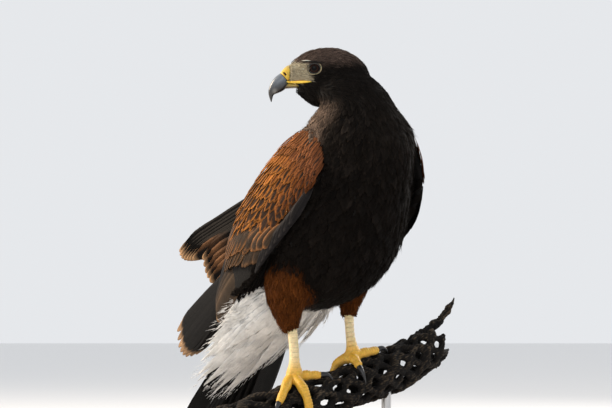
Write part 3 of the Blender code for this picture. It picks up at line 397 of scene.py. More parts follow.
def wisps(name, roots, ways, lengths, width, curl, colour, material, slot, unwrap, steps=4):
    """Joined three-sided, tapering strands, such as bristles and loose down."""
    count = len(roots)
    share = np.linspace(0.0, 1.0, steps)
    side = unit(np.cross(ways, RANDOM.standard_normal((count, 3))))
    lines = (roots[:, None] + ways[:, None] * (share[None, :, None] * lengths[:, None, None])
             + side[:, None] * (curl * lengths[:, None, None] * share[None, :, None] ** 2))
    up = np.cross(side, ways)
    radius = 0.5 * width * (1.0 - 0.9 * share)[:, None]
    angles = full_turn(3)[None, :]
    points = (lines[:, :, None] + side[:, None, None] * (np.cos(angles) * radius)[None, ..., None]
              + up[:, None, None] * (np.sin(angles) * radius)[None, ..., None])
    v_all = np.repeat(share, 3)[None, :]
    faces = grid_faces(steps, 3, True)
    return feathered(name, points.reshape(count, -1, 3), faces, np.zeros_like(v_all), v_all, roots,
                     np.full(count, width), lengths, colour, material, slot, unwrap)


def dress(made, material, slot, *replaced, tint=None):
    """Give a piece its paint, its material, its body and the nodes it replaces; the slot is not used."""
    if tint is not None:
        paint(made.data, tint)
    made.data.materials.clear()
    made.data.materials.append(material)
    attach(made, "root")
    if replaced:
        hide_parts(*replaced)
    return made


def edged(inner, outer, spread_by):
    """Colouring of a vane: an inner colour, a paler edge, and change from vane to vane.

    Both colours are given as they are, or as a function of the vanes' roots.
    """
    def colour(u, v, points):
        edge = np.maximum(np.abs(u) ** 4, ramp(0.88, 1.0, v))
        base, rim = (shade(points[:, 0])[:, None] if callable(shade) else shade
                     for shade in (inner, outer))
        return mixed(base, rim, edge) * varied(spread_by, (len(points), 1, 1))
    return colour


def plain(tint):
    """Colouring of wisps that have one tint each, or one for all."""
    return lambda u, v, points: np.asarray(tint)[..., None, :]


def on_map(value, low, span):
    """Place on the bake map of a value that runs from low over a span."""
    return 0.02 + 0.96 * (value - low) / span


def unwrap_body(points):
    """Place of points on a cylinder unwrapped round the body's axis."""
    along, side, dorsal = in_body(points)
    turn = np.arctan2(side, -dorsal) / math.pi
    return np.stack((0.5 + 0.48 * turn, on_map(along, -330, 560)), -1)


# ---------------------------------------------------------------- materials
BARB_PITCH, QUILL_HALF = 0.55, 0.32     # distance between barbs and half a quill's width


def new_material(name, roughness, **sockets):
    """Material with its node tree and its shader, whose sockets are set by name."""
    material = bpy.data.materials.new(name)
    material.use_nodes = True
    tree = material.node_tree
    shader = tree.nodes["Principled BSDF"]
    shader.inputs["Roughness"].default_value = roughness
    for socket, value in sockets.items():
        shader.inputs[socket.replace("_", " ")].default_value = value
    return material, tree, shader


def node(tree, kind, inputs=None, **settings):
    """Add a node, set its properties, and set or link its inputs."""
    made = tree.nodes.new(kind)
    for key, value in settings.items():
        setattr(made, key, value)
    for key, value in (inputs or {}).items():
        if isinstance(value, bpy.types.NodeSocket):
            tree.links.new(value, made.inputs[key])
        else:
            made.inputs[key].default_value = value
    return made


def math_node(tree, operation, first, second=0.0, third=0.0):
    """Result of a Math node on sockets or numbers."""
    return node(tree, "ShaderNodeMath", {0: first, 1: second, 2: third}, operation=operation).outputs[0]


def noise(tree, vector, scale, detail=4.0, roughness=0.55, distortion=0.0):
    """Noise value at a vector."""
    made = node(tree, "ShaderNodeTexNoise", {"Vector": vector, "Scale": scale, "Detail": detail,
                                             "Roughness": roughness, "Distortion": distortion})
    return made.outputs["Fac"]


def ramped(tree, value, stops):
    """Colour or brightness from a value, through stops of place and colour."""
    made = node(tree, "ShaderNodeValToRGB", {0: value})
    elements = made.color_ramp.elements
    while len(elements) < len(stops):
        elements.new(0.5)
    for element, (place, colour) in zip(elements, stops):
        element.position = place
        element.color = (*colour, 1.0)
    return made.outputs["Color"]


def multiply(tree, first, second, share=1.0):
    """Product of two colours, by a share that may be a socket."""
    made = node(tree, "ShaderNodeMix", data_type="RGBA", blend_type="MULTIPLY")
    for index, value in ((0, share), (6, first), (7, second)):
        if isinstance(value, bpy.types.NodeSocket):
            tree.links.new(value, made.inputs[index])
        else:
            made.inputs[index].default_value = value if index == 0 else (*value, 1.0)
    return made.outputs[2]


def shaded(tree, value, *stops):
    """Brightness from a value, through stops of place and level."""
    return ramped(tree, value, [(place, grey(level)) for place, level in stops])


def grey(level):
    """Colour of one brightness."""
    return (level, level, level)


def painted(tree):
    """The colour painted on the mesh."""
    return node(tree, "ShaderNodeAttribute", attribute_name="Tint").outputs["Color"]


def painted_shade(tree, value, *stops):
    """The colour painted on the mesh, by the brightness that a value has through its stops."""
    return multiply(tree, painted(tree), shaded(tree, value, *stops))


def colour_into(tree, shader, colour):
    """Colour into the shader."""
    tree.links.new(colour, shader.inputs["Base Color"])


def bump_into(tree, shader, height, distance, strength=1.0):
    """Bump of a depth in millimetres, from a height, into the shader."""
    values = {"Height": height, "Distance": distance * MM, "Strength": strength}
    tree.links.new(node(tree, "ShaderNodeBump", values).outputs["Normal"], shader.inputs["Normal"])


def object_places(tree, scale=(1.0, 1.0, 1.0)):
    """Object coordinates, scaled."""
    source = node(tree, "ShaderNodeTexCoord").outputs["Object"]
    return node(tree, "ShaderNodeMapping", {"Vector": source, "Scale": scale}).outputs["Vector"]


def feather_material(name, roughness, barb_depth, shaft_light, sheen=0.0, patch=0.35, gloss=0.16):
    """Plumage: the vane's own tint, barbs that slant off the quill, a quill line and soft patchiness."""
    material, tree, shader = new_material(name, roughness, Sheen_Weight=sheen, Sheen_Roughness=0.45,
                                          Specular_IOR_Level=gloss)
    vane = node(tree, "ShaderNodeUVMap", uv_map="Vane").outputs["UV"]
    parts = node(tree, "ShaderNodeSeparateXYZ", {0: vane})
    across = math_node(tree, "ABSOLUTE", parts.outputs["X"])
    slant = math_node(tree, "MULTIPLY_ADD", across, -0.9, parts.outputs["Y"])
    narrow = math_node(tree, "MULTIPLY", across, 0.12)
    barb_place = node(tree, "ShaderNodeCombineXYZ", {"X": narrow, "Y": slant})
    streaks = noise(tree, barb_place.outputs[0], 1.5, 3.0, 0.7)
    fine = math_node(tree, "SINE", math_node(tree, "MULTIPLY", slant, 2 * math.pi / BARB_PITCH))
    quill = math_node(tree, "LESS_THAN", across, QUILL_HALF)
    colour = painted_shade(tree, streaks, (0.30, 1.0 - patch), (0.70, 1.0 + patch * 0.4))
    clouds = noise(tree, object_places(tree), 95.0, 3.0)
    colour = multiply(tree, colour, shaded(tree, clouds, (0.35, 0.78), (0.65, 1.0)))
    colour_into(tree, shader, multiply(tree, colour, grey(shaft_light), quill))
    height = math_node(tree, "ADD", math_node(tree, "MULTIPLY", fine, 0.35), streaks)
    bump_into(tree, shader, math_node(tree, "ADD", height, quill), barb_depth, 0.6)
    return material


def skin_material(name):
    """Flesh below the plumage, painted darker than the vanes that cover it as painted shade between
    them.
    """
    material, tree, shader = new_material(name, 0.9, Specular_IOR_Level=0.2)
    fibres = noise(tree, object_places(tree), 420.0, 3.0)
    colour_into(tree, shader, painted_shade(tree, fibres, (0.3, 0.55), (0.7, 1.0)))
    bump_into(tree, shader, fibres, 0.8)
    return material


def horn_material(name, roughness):
    """Horn whose tint is painted on the mesh, with fine growth lines and a soft polish."""
    material, tree, shader = new_material(name, roughness, Coat_Weight=0.25, Coat_Roughness=0.25)
    lines = noise(tree, object_places(tree, (1.0, 1.0, 4.0)), 330.0, 5.0, 0.6)
    colour_into(tree, shader, painted_shade(tree, lines, (0.30, 0.74), (0.72, 1.0)))
    rough = node(tree, "ShaderNodeMapRange", {0: lines, 3: roughness - 0.08, 4: roughness + 0.14})
    tree.links.new(rough.outputs[0], shader.inputs["Roughness"])
    bump_into(tree, shader, lines, 0.18)
    return material


def scaly_material(name, crease, relief):
    """Yellow skin with a net of small scales, whose creases are darker by a share, and blotches."""
    material, tree, shader = new_material(name, 0.46, Subsurface_Weight=0.12, Subsurface_Scale=0.002,
                                          Specular_IOR_Level=0.45)
    places = object_places(tree)
    scales = {"Vector": places, "Scale": 760.0}
    depth = node(tree, "ShaderNodeTexVoronoi", scales, feature="DISTANCE_TO_EDGE").outputs["Distance"]
    colour = painted_shade(tree, depth, (0.0, crease), (0.12, 1.0))
    blotch = shaded(tree, noise(tree, places, 160.0, 4.0), (0.32, 0.80), (0.66, 1.0))
    colour_into(tree, shader, multiply(tree, colour, blotch))
    bump_into(tree, shader, depth, relief, 0.7)
    return material


def eye_material():
    """Dark brown iris and black pupil, painted on the mesh, under a wet cornea."""
    material, tree, shader = new_material("eye_wet", 0.25, Coat_Weight=0.06, Coat_Roughness=0.02,
                                          Specular_IOR_Level=0.05)
    fibres = noise(tree, object_places(tree), 900.0, 3.0)
    colour_into(tree, shader, painted_shade(tree, fibres, (0.35, 0.7), (0.65, 1.0)))
    return material


def cholla_material():
    """Weathered cactus wood: long fibres over a painted tint whose dark hollows are painted shade and
    whose paler ridges are painted highlights.
    """
    material, tree, shader = new_material("dead_cholla", 0.86, Specular_IOR_Level=0.25)
    places = object_places(tree, (1.0, 1.4, 1.6))
    grain = noise(tree, places, 170.0, 8.0, 0.7, 1.2)
    spots = noise(tree, places, 45.0, 3.0)
    colour = painted_shade(tree, grain, (0.28, 0.35), (0.72, 1.0))
    spotted = ramped(tree, spots, ((0.35, (0.55, 0.50, 0.46)), (0.65, grey(1.0))))
    colour_into(tree, shader, multiply(tree, colour, spotted))
    bump_into(tree, shader, grain, 1.1)
    return material


def board_material():
    """Dark stained hardwood with growth rings and pores under a satin lacquer."""
    material, tree, shader = new_material("stained_board", 0.38, Coat_Weight=0.3, Coat_Roughness=0.22)
    places = object_places(tree, (1.0, 0.16, 1.0))
    rings = noise(tree, places, 55.0, 6.0, 0.6, 0.6)
    pores = noise(tree, places, 620.0, 3.0)
    colour = ramped(tree, rings, ((0.30, (0.030, 0.014, 0.007)), (0.52, (0.082, 0.038, 0.018)),
                                  (0.72, (0.135, 0.066, 0.030))))
    colour_into(tree, shader, multiply(tree, colour, shaded(tree, pores, (0.36, 0.55), (0.48, 1.0))))
    bump_into(tree, shader, pores, 0.12)
    return material


def steel_material():
    """Satin drawn steel."""
    material, tree, shader = new_material("satin_steel", 0.34, Metallic=1.0)
    lines = noise(tree, object_places(tree, (1.0, 1.0, 0.04)), 1400.0, 3.0)
    colour_into(tree, shader, shaded(tree, lines, (0.3, 0.46), (0.7, 0.62)))
    bump_into(tree, shader, lines, 0.03)
    return material


COAT = feather_material("plumage_soft", 0.78, 0.26, 0.80, gloss=0.04)
SLEEK = feather_material("plumage_flight", 0.58, 0.12, 1.4, patch=0.28, gloss=0.05)
PALE = feather_material("plumage_white", 0.80, 0.30, 0.96, sheen=0.10, patch=0.06)
SKIN = skin_material("flesh")
HORN = horn_material("horn", 0.34)
SCALY = scaly_material("scaly_skin", 0.78, 0.45)
WAXY = scaly_material("waxy_skin", 0.94, 0.10)
EYE = eye_material()
CHOLLA = cholla_material()
BOARD = board_material()
STEEL = steel_material()

# ---------------------------------------------------------------- one skin
FLESH_NODES = ("torso", "neck", "head", "thigh_left", "thigh_right")
# Folded wings, left 1 and right -1. Envelope: along, half width, its depth to the back and to the breast
REAR_ENVELOPE = (
    (-240, 30, 62, 60), (-190, 42, 60, 66), (-150, 54, 60, 72), (-110, 66, 63, 78), (-70, 77, 66, 83))
WING_ENVELOPES = {
    1: (*REAR_ENVELOPE, (-30, 84, 68, 87), (10, 87, 69, 88), (50, 83, 66, 84), (80, 74, 59, 72),
        (108, 58, 48, 52)),
    -1: (*REAR_ENVELOPE, (-30, 82, 66, 87), (10, 77, 61, 88), (50, 67, 50, 84), (80, 57, 38, 72),
         (108, 50, 30, 56))}
ENVELOPE_MIDDLE, ENVELOPE_SQUARENESS = 5.0, 2.5
# Flesh of the wing: along, dorsal places of its front and back edges, thickness
REAR_CORE = ((-50, -14, 62, 14), (-80, -2, 57, 8), (-108, 22, 52, 5))
WING_CORES = {
    1: ((94, -2, 22, 8), (88, -14, 36, 16), (80, -26, 46, 20), (66, -38, 56, 22), (48, -45, 62, 22),
        (28, -42, 65, 22), (8, -37, 66, 20), (-20, -27, 66, 18), *REAR_CORE),
    -1: ((79, 5, 17, 8), (76, -4, 24, 13), (70, -15, 30, 18), (60, -25, 37, 20), (48, -33, 43, 22),
         (32, -36, 51, 22), (12, -34, 58, 20), (-20, -26, 64, 18), *REAR_CORE)}
WING_INSET = 1.7                 # how far the wing's skin lies under its coverts
THIGHS = {
    "right": (((-14, -22, 232), 26), ((-20, -20, 213), 26.5), ((-23, -17, 196), 21),
              ((-22, -14, 181), 14.5), ((-20, -12.5, 170), 10.5), ((-18.5, -12.5, 164), 7.5)),
    "left": (((44, 34, 238), 22), ((42.5, 34, 220), 21.5), ((41, 34, 204), 16.5),
             ((39.5, 33, 190), 11), ((39, 32.5, 182), 8.6), ((39, 32, 178), 7)),
}
TAIL_ROOT, TAIL_ANGLE = (-100.0, 24.5), math.atan(1.0 / 6.0)
VOXEL = 1.6
# How far the skin lies under the plumage's outer surface
COAT_DEPTH, HEAD_COAT_DEPTH, FACE_COAT_DEPTH, WING_COAT_DEPTH = 2.4, 1.2, 0.35, 0.4
TAIL_CORES = (                   # points as back, side and dorsal, radii and flatness
    ("tail_core", ((-8, 0, -3), (10, 0, -3), (32, 0, -3), (52, 0, -3)), (13.5, 16, 15, 7), 0.36),
    ("under_core", ((-14, 0, -20), (18, -1, -19), (45, -3, -16), (70, -5, -13), (92, -6, -11)),
     (24, 30, 30, 25, 12), 0.20),
    ("upper_core", ((-18, 0, 10), (8, 0, 8), (28, 0, 6), (42, 0, 4.5)), (20, 22, 20, 10), 0.2))


def envelope_at(hand, along, dorsal, lift=0.0):
    """Places on the folded wing's outer surface, raised by lift; hand is 1 left, -1 right."""
    along, dorsal, lift = (value.astype(float) for value in np.broadcast_arrays(along, dorsal, lift))
    half, back, breast = np.moveaxis(table_at(WING_ENVELOPES[hand], along), -1, 0)
    reach = np.where(dorsal > ENVELOPE_MIDDLE, back, breast)
    level = np.minimum(np.abs(dorsal - ENVELOPE_MIDDLE) / reach, 0.97)
    side = half * (1 - level ** ENVELOPE_SQUARENESS) ** (1 / ENVELOPE_SQUARENESS)
    out_side, out_dorsal = side / half ** 2, (dorsal - ENVELOPE_MIDDLE) / reach ** 2
    size = np.hypot(out_side, out_dorsal)
    return body_place(along, (side + out_side / size * lift) * hand, dorsal + out_dorsal / size * lift)


def envelope_way(hand, along, dorsal):
    """Outward directions of the folded wing's surface."""
    return unit(envelope_at(hand, along, dorsal, 5.0) - envelope_at(hand, along, dorsal, 0.0))


def on_wing(points, margin=0.0):
    """Which points lie on a folded wing's outer face."""
    along, side, dorsal = in_body(points)
    found = np.zeros(len(points), bool)
    for hand, core in WING_CORES.items():
        front, back, _ = np.moveaxis(table_at(core, along), -1, 0)
        depth = (envelope_at(hand, along, dorsal) - BODY_CENTRE) @ LEFT * hand - side * hand
        inside = (side * hand > 0) & (along > core[-1][0]) & (along < core[0][0] - margin)
        found |= inside & (dorsal > front + margin) & (dorsal < back - margin) & (depth < 9.0)
    return found


def wing_core(hand):
    """Flesh of a folded wing, as a curved plate under its coverts."""
    rings = []
    shares = np.linspace(0.0, 1.0, 12)
    core = WING_CORES[hand]
    for along in np.linspace(core[0][0] - 2, core[-1][0], 26):
        front, back, thickness = table_at(core, along)
        dorsal = front + (back - front) * (0.5 - 0.5 * np.cos(math.pi * shares))
        depth = WING_INSET + 1.5 + thickness * np.sin(math.pi * shares) ** 0.5
        outer, inner = (envelope_at(hand, along, dorsal, -inset) for inset in (WING_INSET, depth))
        rings.append(np.concatenate((outer, inner[::-1])))
    return capped_tube("wing_core", rings)


def tail_place(back, side, dorsal=0.0):
    """Places at a distance back from the tail's root, in the tail's plane, raised by dorsal."""
    return body_place(TAIL_ROOT[0] - back * math.cos(TAIL_ANGLE), side,
                      TAIL_ROOT[1] + back * math.sin(TAIL_ANGLE) + dorsal)


def tail_tube(name, stations, radii, flatten):
    """Soft core on the tail's line: stations of distance back, side and dorsal."""
    back, side, dorsal = np.array(stations, float).T
    return capped_tube(name, rings_along(tail_place(back, side, dorsal), radii, 24, DORSAL, flatten))


def solid_copy(name, grow):
    """Closed copy of a CAD node, grown a little so that neighbours meet."""
    shape = bmesh.new()
    shape.from_mesh(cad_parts[name].data)
    bmesh.ops.remove_doubles(shape, verts=shape.verts, dist=2e-6)
    shape.normal_update()
    for vert in shape.verts:
        vert.co += vert.normal * (grow * MM)
    mesh = bpy.data.meshes.new(name + "_flesh")
    shape.to_mesh(mesh)
    shape.free()
    return in_scene(name + "_flesh", mesh)


def thigh_depth(points):
    """How far points lie outside the nearest thigh."""
    depth = np.full(len(points), 1e3)
    for stations in THIGHS.values():
        for centre, radius in stations:
            depth = np.minimum(depth, np.linalg.norm(points - np.array(centre), axis=1) - radius)
    return depth


def make_skin():
    """One skin for the torso, neck, head, thighs, wings and tail root."""
    parts = [solid_copy(name, 0.4) for name in FLESH_NODES]
    parts += [wing_core(hand) for hand in WING_CORES]
    parts += [tail_tube(*core) for core in TAIL_CORES]
    skin = remeshed(join("skin", parts), VOXEL, 6)
    places, normals = vertex_arrays(skin)
    ahead, _, height = in_head(places)
    head = ramp(-34, -10, height)
    face = head * ramp(8, 30, ahead)
    depth = towards(COAT_DEPTH, HEAD_COAT_DEPTH, head) + (FACE_COAT_DEPTH - HEAD_COAT_DEPTH) * face
    depth = np.where(on_wing(places, -4.0), WING_COAT_DEPTH, depth)
    set_places(skin, open_lids(places - normals * depth[:, None]))
    return skin


def polygons_of(made):
    """Corner indices of an object's faces, as lists."""
    return [list(face.vertices) for face in made.data.polygons]


def nearest(surface, points):
    """Nearest places and outward normals on a surface."""
    feet, normals = np.empty_like(points), np.empty_like(points)
    for index, point in enumerate(points):
        foot, normal, _, _ = surface.find_nearest(Vector(point))
        feet[index], normals[index] = foot, normal
    return feet, normals


# ---------------------------------------------------------------- zones of the plumage
# Where each zone begins and where it is full, in millimetres on the axis that its name tells
HEAD_HEIGHT, NECK_RISE = (-40, -16), (325, 388)
FACE_AHEAD, FACE_FLOOR, FACE_TOP = (24, 30), (-7.2, -5.6), (12.5, 10.5)
THIGH_DEPTH, THIGH_TOP = (7, 1), (238, 226)
VENT_ALONG, CROWN_HEIGHT = (-84, -96), (6, 17)
MANTLE_ALONG, MANTLE_SIDE, MANTLE_DORSAL, MANTLE_HEIGHT = (72, 86), (34, 44), (-16, 4), (-20, -34)


def zones(points):
    """Shares of the head, the face, the thighs and the white vent at places on the skin."""
    ahead, _, height = in_head(points)
    along, _, _ = in_body(points)
    head = ramp(*HEAD_HEIGHT, height)
    face = ramp(*FACE_AHEAD, ahead - 0.25 * (height - 5)) * ramp(*FACE_FLOOR, height)
    face = face * ramp(*FACE_TOP, height) * head
    thigh = ramp(*THIGH_DEPTH, thigh_depth(points)) * ramp(*THIGH_TOP, points[:, 2])
    vent = ramp(*VENT_ALONG, along) * (1 - thigh) * ~on_wing(points, -8.0)
    return head, face, thigh, vent


def lit_zones(points):
    """Shares of the crown and of the mantle that hangs over the wings' tops, both painted paler as
    painted sunlight.
    """
    ahead, _, height = in_head(points)
    along, side, dorsal = in_body(points)
    crown = ramp(*CROWN_HEIGHT, height + 0.15 * ahead)
    mantle = ramp(*MANTLE_ALONG, along) * ramp(*MANTLE_SIDE, np.abs(side))
    return crown, mantle * ramp(*MANTLE_DORSAL, dorsal) * ramp(*MANTLE_HEIGHT, height)


def mottle(points, size):
    """Soft patchiness of about zero, with patches of a size in millimetres."""
    wave = np.zeros(len(points))
    for turn in range(5):
        way = unit(np.array((math.sin(2.4 * turn + 1), math.cos(1.7 * turn), math.sin(3.1 * turn + 2))))
        wave += np.sin(points @ way * (2 * math.pi / size) * (1 + 0.37 * turn) + 2.2 * turn)
    return wave / 5


def zone_tint(points, browner, body, neck, nape, top, back, leg, rump, lores):
    """Colours of places on the body: a colour for each zone, and the body's turning to the neck's."""
    head, face, thigh, vent = zones(points)
    crown, mantle = lit_zones(points)
    tint = mixed(body, neck, np.clip(browner, 0, 1))
    # The top and back colours are painted sunlight on the crown and the mantle
    layers = ((mixed(nape, top, crown), head), (back, mantle), (leg, thigh), (rump, vent), (lores, face))
    for colour, share in layers:
        tint = mixed(tint, colour, share)
    return tint


def inner_tint(points):
    """Colour of the middle of a body feather rooted at a place."""
    browner = ramp(320, 372, points[:, 2]) * 0.8 + 0.5 * mottle(points, 48.0)
    return zone_tint(points, browner, DARK, NECK_BROWN, HEAD_BROWN, SUNLIT_CROWN, SUNLIT_MANTLE, THIGH, WHITE, LORES)


def edge_tint(points):
    """Colour of the edge of a body feather rooted at a place."""
    browner = ramp(310, 365, points[:, 2]) + 0.4 * mottle(points, 40.0)
    return zone_tint(points, browner, DARK_EDGE, NECK_EDGE, HEAD_EDGE, SUNLIT_CROWN_EDGE, SUNLIT_MANTLE_EDGE,
                     THIGH_EDGE, WHITE_EDGE, LORES_EDGE)


def lie(points):
    """Direction in which the plumage lies at places on the body."""
    ahead, _, height = in_head(points)
    head, _, thigh, _ = zones(points)
    behind, throat = ramp(12, -34, ahead), ramp(-8, -26, height) * ramp(0, 20, ahead)
    over_head = -BILL_WAY - UP * (0.10 + 1.0 * behind + 0.9 * throat)[:, None]
    flow = mixed(-AXIS, -UP, 0.35 * ramp(330, 380, points[:, 2]))
    flow = mixed(flow, -UP, thigh * 0.9)
    return unit(mixed(flow, unit(over_head), head))


# Distances between feathers, and their lengths
BODY_GAP, NECK_GAP, HEAD_GAP, FACE_GAP, THIGH_GAP = 4.7, 3.1, 1.95, 0.88, 3.2
BODY_LENGTH, NECK_LENGTH, HEAD_LENGTH, FACE_LENGTH, THIGH_LENGTH = 20.0, 13.0, 7.6, 3.6, 15.0
CANDIDATES, BARB_COUNT = 70000, 14000
SHUT_IN_GAP = 7.0                # between two facing parts of the skin that hide each other
EYE_BARE, EYE_BARE_BEFORE = 1.42, 0.25   # bare skin round the eye and before it, as eye_share()


def body_spacing(points):
    """Distance between neighbouring feathers."""
    head, face, thigh, _ = zones(points)
    size = towards(towards(BODY_GAP, NECK_GAP, ramp(*NECK_RISE, points[:, 2])), HEAD_GAP, head)
    size = towards(size, FACE_GAP, np.maximum(face, ramp(2.4, 1.8, eye_share(points))))
    return towards(size, THIGH_GAP, thigh)


def scatter(skin, spacing, candidates):
    """Evenly spread places on a skin, with a distance that changes from zone to zone."""
    places, _ = vertex_arrays(skin)
    corners = places[np.array([face for face in polygons_of(skin) if len(face) == 4])]
    area = np.linalg.norm(np.cross(corners[:, 2] - corners[:, 0], corners[:, 3] - corners[:, 1]), axis=1)
    need = area / spacing(corners.mean(1)) ** 2
    chosen = RANDOM.choice(len(corners), candidates, p=need / need.sum())
    s, t = RANDOM.random((2, candidates, 1))
    quad = corners[chosen]
    near_side, far_side = quad[:, 0] * (1 - s) + quad[:, 1] * s, quad[:, 3] * (1 - s) + quad[:, 2] * s
    points = near_side * (1 - t) + far_side * t
    apart = spacing(points)
    tree = search_tree(points)
    free = np.ones(candidates, bool)
    kept = []
    for index, point in enumerate(points):
        if free[index]:
            kept.append(index)
            for _, other, _ in tree.find_range(Vector(point), apart[index]):
                free[other] = False
    return points[kept]


def lines_on(surface, roots, lengths, rows, low, high):
    """Centre lines laid over a surface along the plumage's lie, rising from low to high."""
    share = np.linspace(0.0, 1.0, rows)
    lines, outwards = np.empty((len(roots), rows, 3)), np.empty((len(roots), rows, 3))
    angle = 0.14 * RANDOM.standard_normal(len(roots))[:, None]
    places = roots.copy()
    for row in range(rows):
        feet, normals = nearest(surface, places)
        ways = along_surface(lie(feet), normals)
        ways = ways * np.cos(angle) + np.cross(normals, ways) * np.sin(angle)
        lift = low + (high - low) * share[row] ** 0.8
        lines[:, row], outwards[:, row] = feet + normals * lift[:, None], normals
        places = feet + ways * (lengths / (rows - 1))[:, None]
    return lines, outwards


def make_body_plumage(skin):
    """Contour feathers over the whole body, in pieces by zone, with loose barbs over them."""
    places, _ = vertex_arrays(skin)
    surface = BVHTree.FromPolygons([Vector(place) for place in places], polygons_of(skin))
    roots = scatter(skin, body_spacing, CANDIDATES)
    ahead, _, height = in_head(roots)
    along, _, _ = in_body(roots)
    round_eye = eye_share(roots)
    bare = (ahead > 45.0 - 8.0 * (height < -10)) & (height < 14) & (height > -20)
    bare |= round_eye < EYE_BARE + EYE_BARE_BEFORE * ramp(-2, 3, ahead - EYE_FORWARD)
    bare |= on_wing(roots, 3.0) | shut_in(surface, roots) | (along < -116)
    roots, round_eye = roots[~bare], round_eye[~bare]
    head, face, thigh, _ = zones(roots)
    neck = ramp(*NECK_RISE, roots[:, 2])
    length = towards(towards(BODY_LENGTH, NECK_LENGTH, neck), HEAD_LENGTH, head)
    length = towards(length, FACE_LENGTH, np.maximum(face, ramp(2.3, 1.7, round_eye)))
    length = towards(length, THIGH_LENGTH, thigh)
    length *= varied(0.10, len(roots))
    width = length * (0.54 - 0.08 * neck - 0.10 * head - 0.18 * face - 0.16 * thigh)
    high = towards(towards(2.0 - 0.1 * neck, 1.15, head), 0.40, face)
    high = high * (1.0 + 0.25 * RANDOM.standard_normal(len(roots)))
    of_head, of_face, of_thigh, of_back = head > 0.5, face > 0.3, thigh > 0.35, dorsal_of(roots) >= 0
    body = ~of_head & ~of_thigh
    groups = (("face", of_face, 5, "feather_dark"),
              ("head", of_head & ~of_face, 5, "feather_dark"),
              ("thighs", ~of_head & of_thigh, 7, "feather_rufous"),
              ("breast", body & ~of_back, 7, "feather_dark"),
              ("back", body & of_back, 7, "feather_dark"))
    for zone, chosen, columns, slot in groups:
        lines, outwards = lines_on(surface, roots[chosen], length[chosen], 6, -0.4, high[chosen])
        vanes(f"plumage_{zone}", lines, outwards, width[chosen], edged(inner_tint, edge_tint, 0.22),
              COAT, slot, unwrap_body, columns, **BODY_CUT)
    make_barbs(surface, roots, length)
    return surface


def make_barbs(surface, roots, length):
    """Loose barbs that lie over the body feathers and stand a little proud of the outline."""
    head, face, _, _ = zones(roots)
    chosen = RANDOM.choice(np.flatnonzero(face < 0.3), BARB_COUNT)
    stray = 1.6 * RANDOM.standard_normal((BARB_COUNT, 3)) * (1 - 0.6 * head[chosen])[:, None]
    starts = roots[chosen] + stray
    feet, normals = nearest(surface, starts)
    ways = along_surface(lie(feet), normals)
    splay = np.cross(normals, ways) * RANDOM.uniform(-0.35, 0.35, (BARB_COUNT, 1))
    ways = unit(ways + splay + normals * RANDOM.uniform(0.02, 0.17, (BARB_COUNT, 1)))
    lengths = length[chosen] * RANDOM.uniform(0.35, 0.62, BARB_COUNT)
    lift = (1.7 - 0.7 * head[chosen])[:, None]
    tint = mixed(inner_tint(feet), edge_tint(feet), RANDOM.uniform(0.2, 0.9, BARB_COUNT))
    wisps("plumage_barbs", feet + normals * lift, ways, lengths, 0.42, 0.10,
          plain(tint), COAT, "feather_dark", unwrap_body, 3)


def dorsal_of(points):
    """Dorsal place of world points."""
    return (points - BODY_CENTRE) @ DORSAL


def shut_in(surface, points):
    """Which places on the skin face another part of it so closely that no feather would show."""
    feet, normals = nearest(surface, points)
    closed = np.zeros(len(points), bool)
    for index, (foot, normal) in enumerate(zip(feet, normals)):
        _, _, _, gap = surface.ray_cast(Vector(foot + normal * 0.4), Vector(normal), SHUT_IN_GAP)
        closed[index] = gap is not None
    return closed


# ---------------------------------------------------------------- eyes, lids, bill
EYE_RADIUS, EYE_FORWARD, EYE_HEIGHT, EYE_OUT, EYE_TURN = 8.2, 21.1, 6.0, 20.8, math.radians(18.0)
LID_OPENING = (5.6, 4.6)         # half length and half height
BEHIND_EYE = 9.0                 # share given to places behind an eye
LID_EDGE, LID_REACH, LID_SLOPE = 1.04, 1.35, 3.6     # where the opening and the lids end, as its shares
SKIN_BEHIND_BALL, SKIN_OVER_BALL = 0.9, 0.25
PUPIL_RIM, IRIS_RIM, IRIS_END = (2.5, 2.9), (3.4, 4.6), (4.7, 5.3)    # distances from the eye's axis
# Rims round the opening: how far outside it, how high over the eyeball, and their radius
LID_RIMS = (("inner", 0.1, 0.25, 0.55), ("fold", 0.9, 0.05, 0.60), ("ring", 1.5, 0.22, 0.50))
# Sections of the bill: ahead and height of its top and of its edge, then half its width
CERE_STATIONS = (
    (43.8, 10.9, 43.8, -5.6, 9.1), (46.8, 9.4, 44.1, -5.8, 9.1), (49.8, 6.5, 44.4, -6.0, 8.9),
    (52.4, 2.9, 44.7, -6.3, 8.4))
UPPER_BILL_STATIONS = (
    (52.8, 2.4, 45.0, -6.9, 8.2), (56.2, -0.1, 45.8, -10.6, 8.0), (59.5, -3.6, 48.2, -13.6, 7.3),
    (62.2, -8.1, 51.7, -15.8, 6.2), (63.9, -12.8, 55.6, -17.4, 4.9), (64.2, -17.4, 59.0, -19.0, 3.3),
    (63.2, -21.9, 60.2, -22.3, 1.8), (61.7, -26.0, 61.1, -26.0, 0.5))
LOWER_BILL_STATIONS = (
    (33.0, -6.8, 33.0, -11.4, 12.4), (38.0, -6.8, 38.0, -11.9, 10.8), (43.0, -6.9, 42.6, -12.2, 8.6),
    (47.0, -7.6, 46.6, -12.6, 6.0), (52.0, -9.6, 51.6, -13.6, 4.4), (55.0, -11.6, 54.8, -13.6, 2.4))
NOSTRIL, NOSTRIL_TILT = (48.6, 1.6), math.radians(52.0)
PUPIL, IRIS, IRIS_EDGE = (0.0020, 0.0020, 0.0020), (0.020, 0.0065, 0.0035), (0.008, 0.0035, 0.0025)
LID_DARK, LID_PALE = (0.014, 0.011, 0.009), (0.300, 0.240, 0.120)
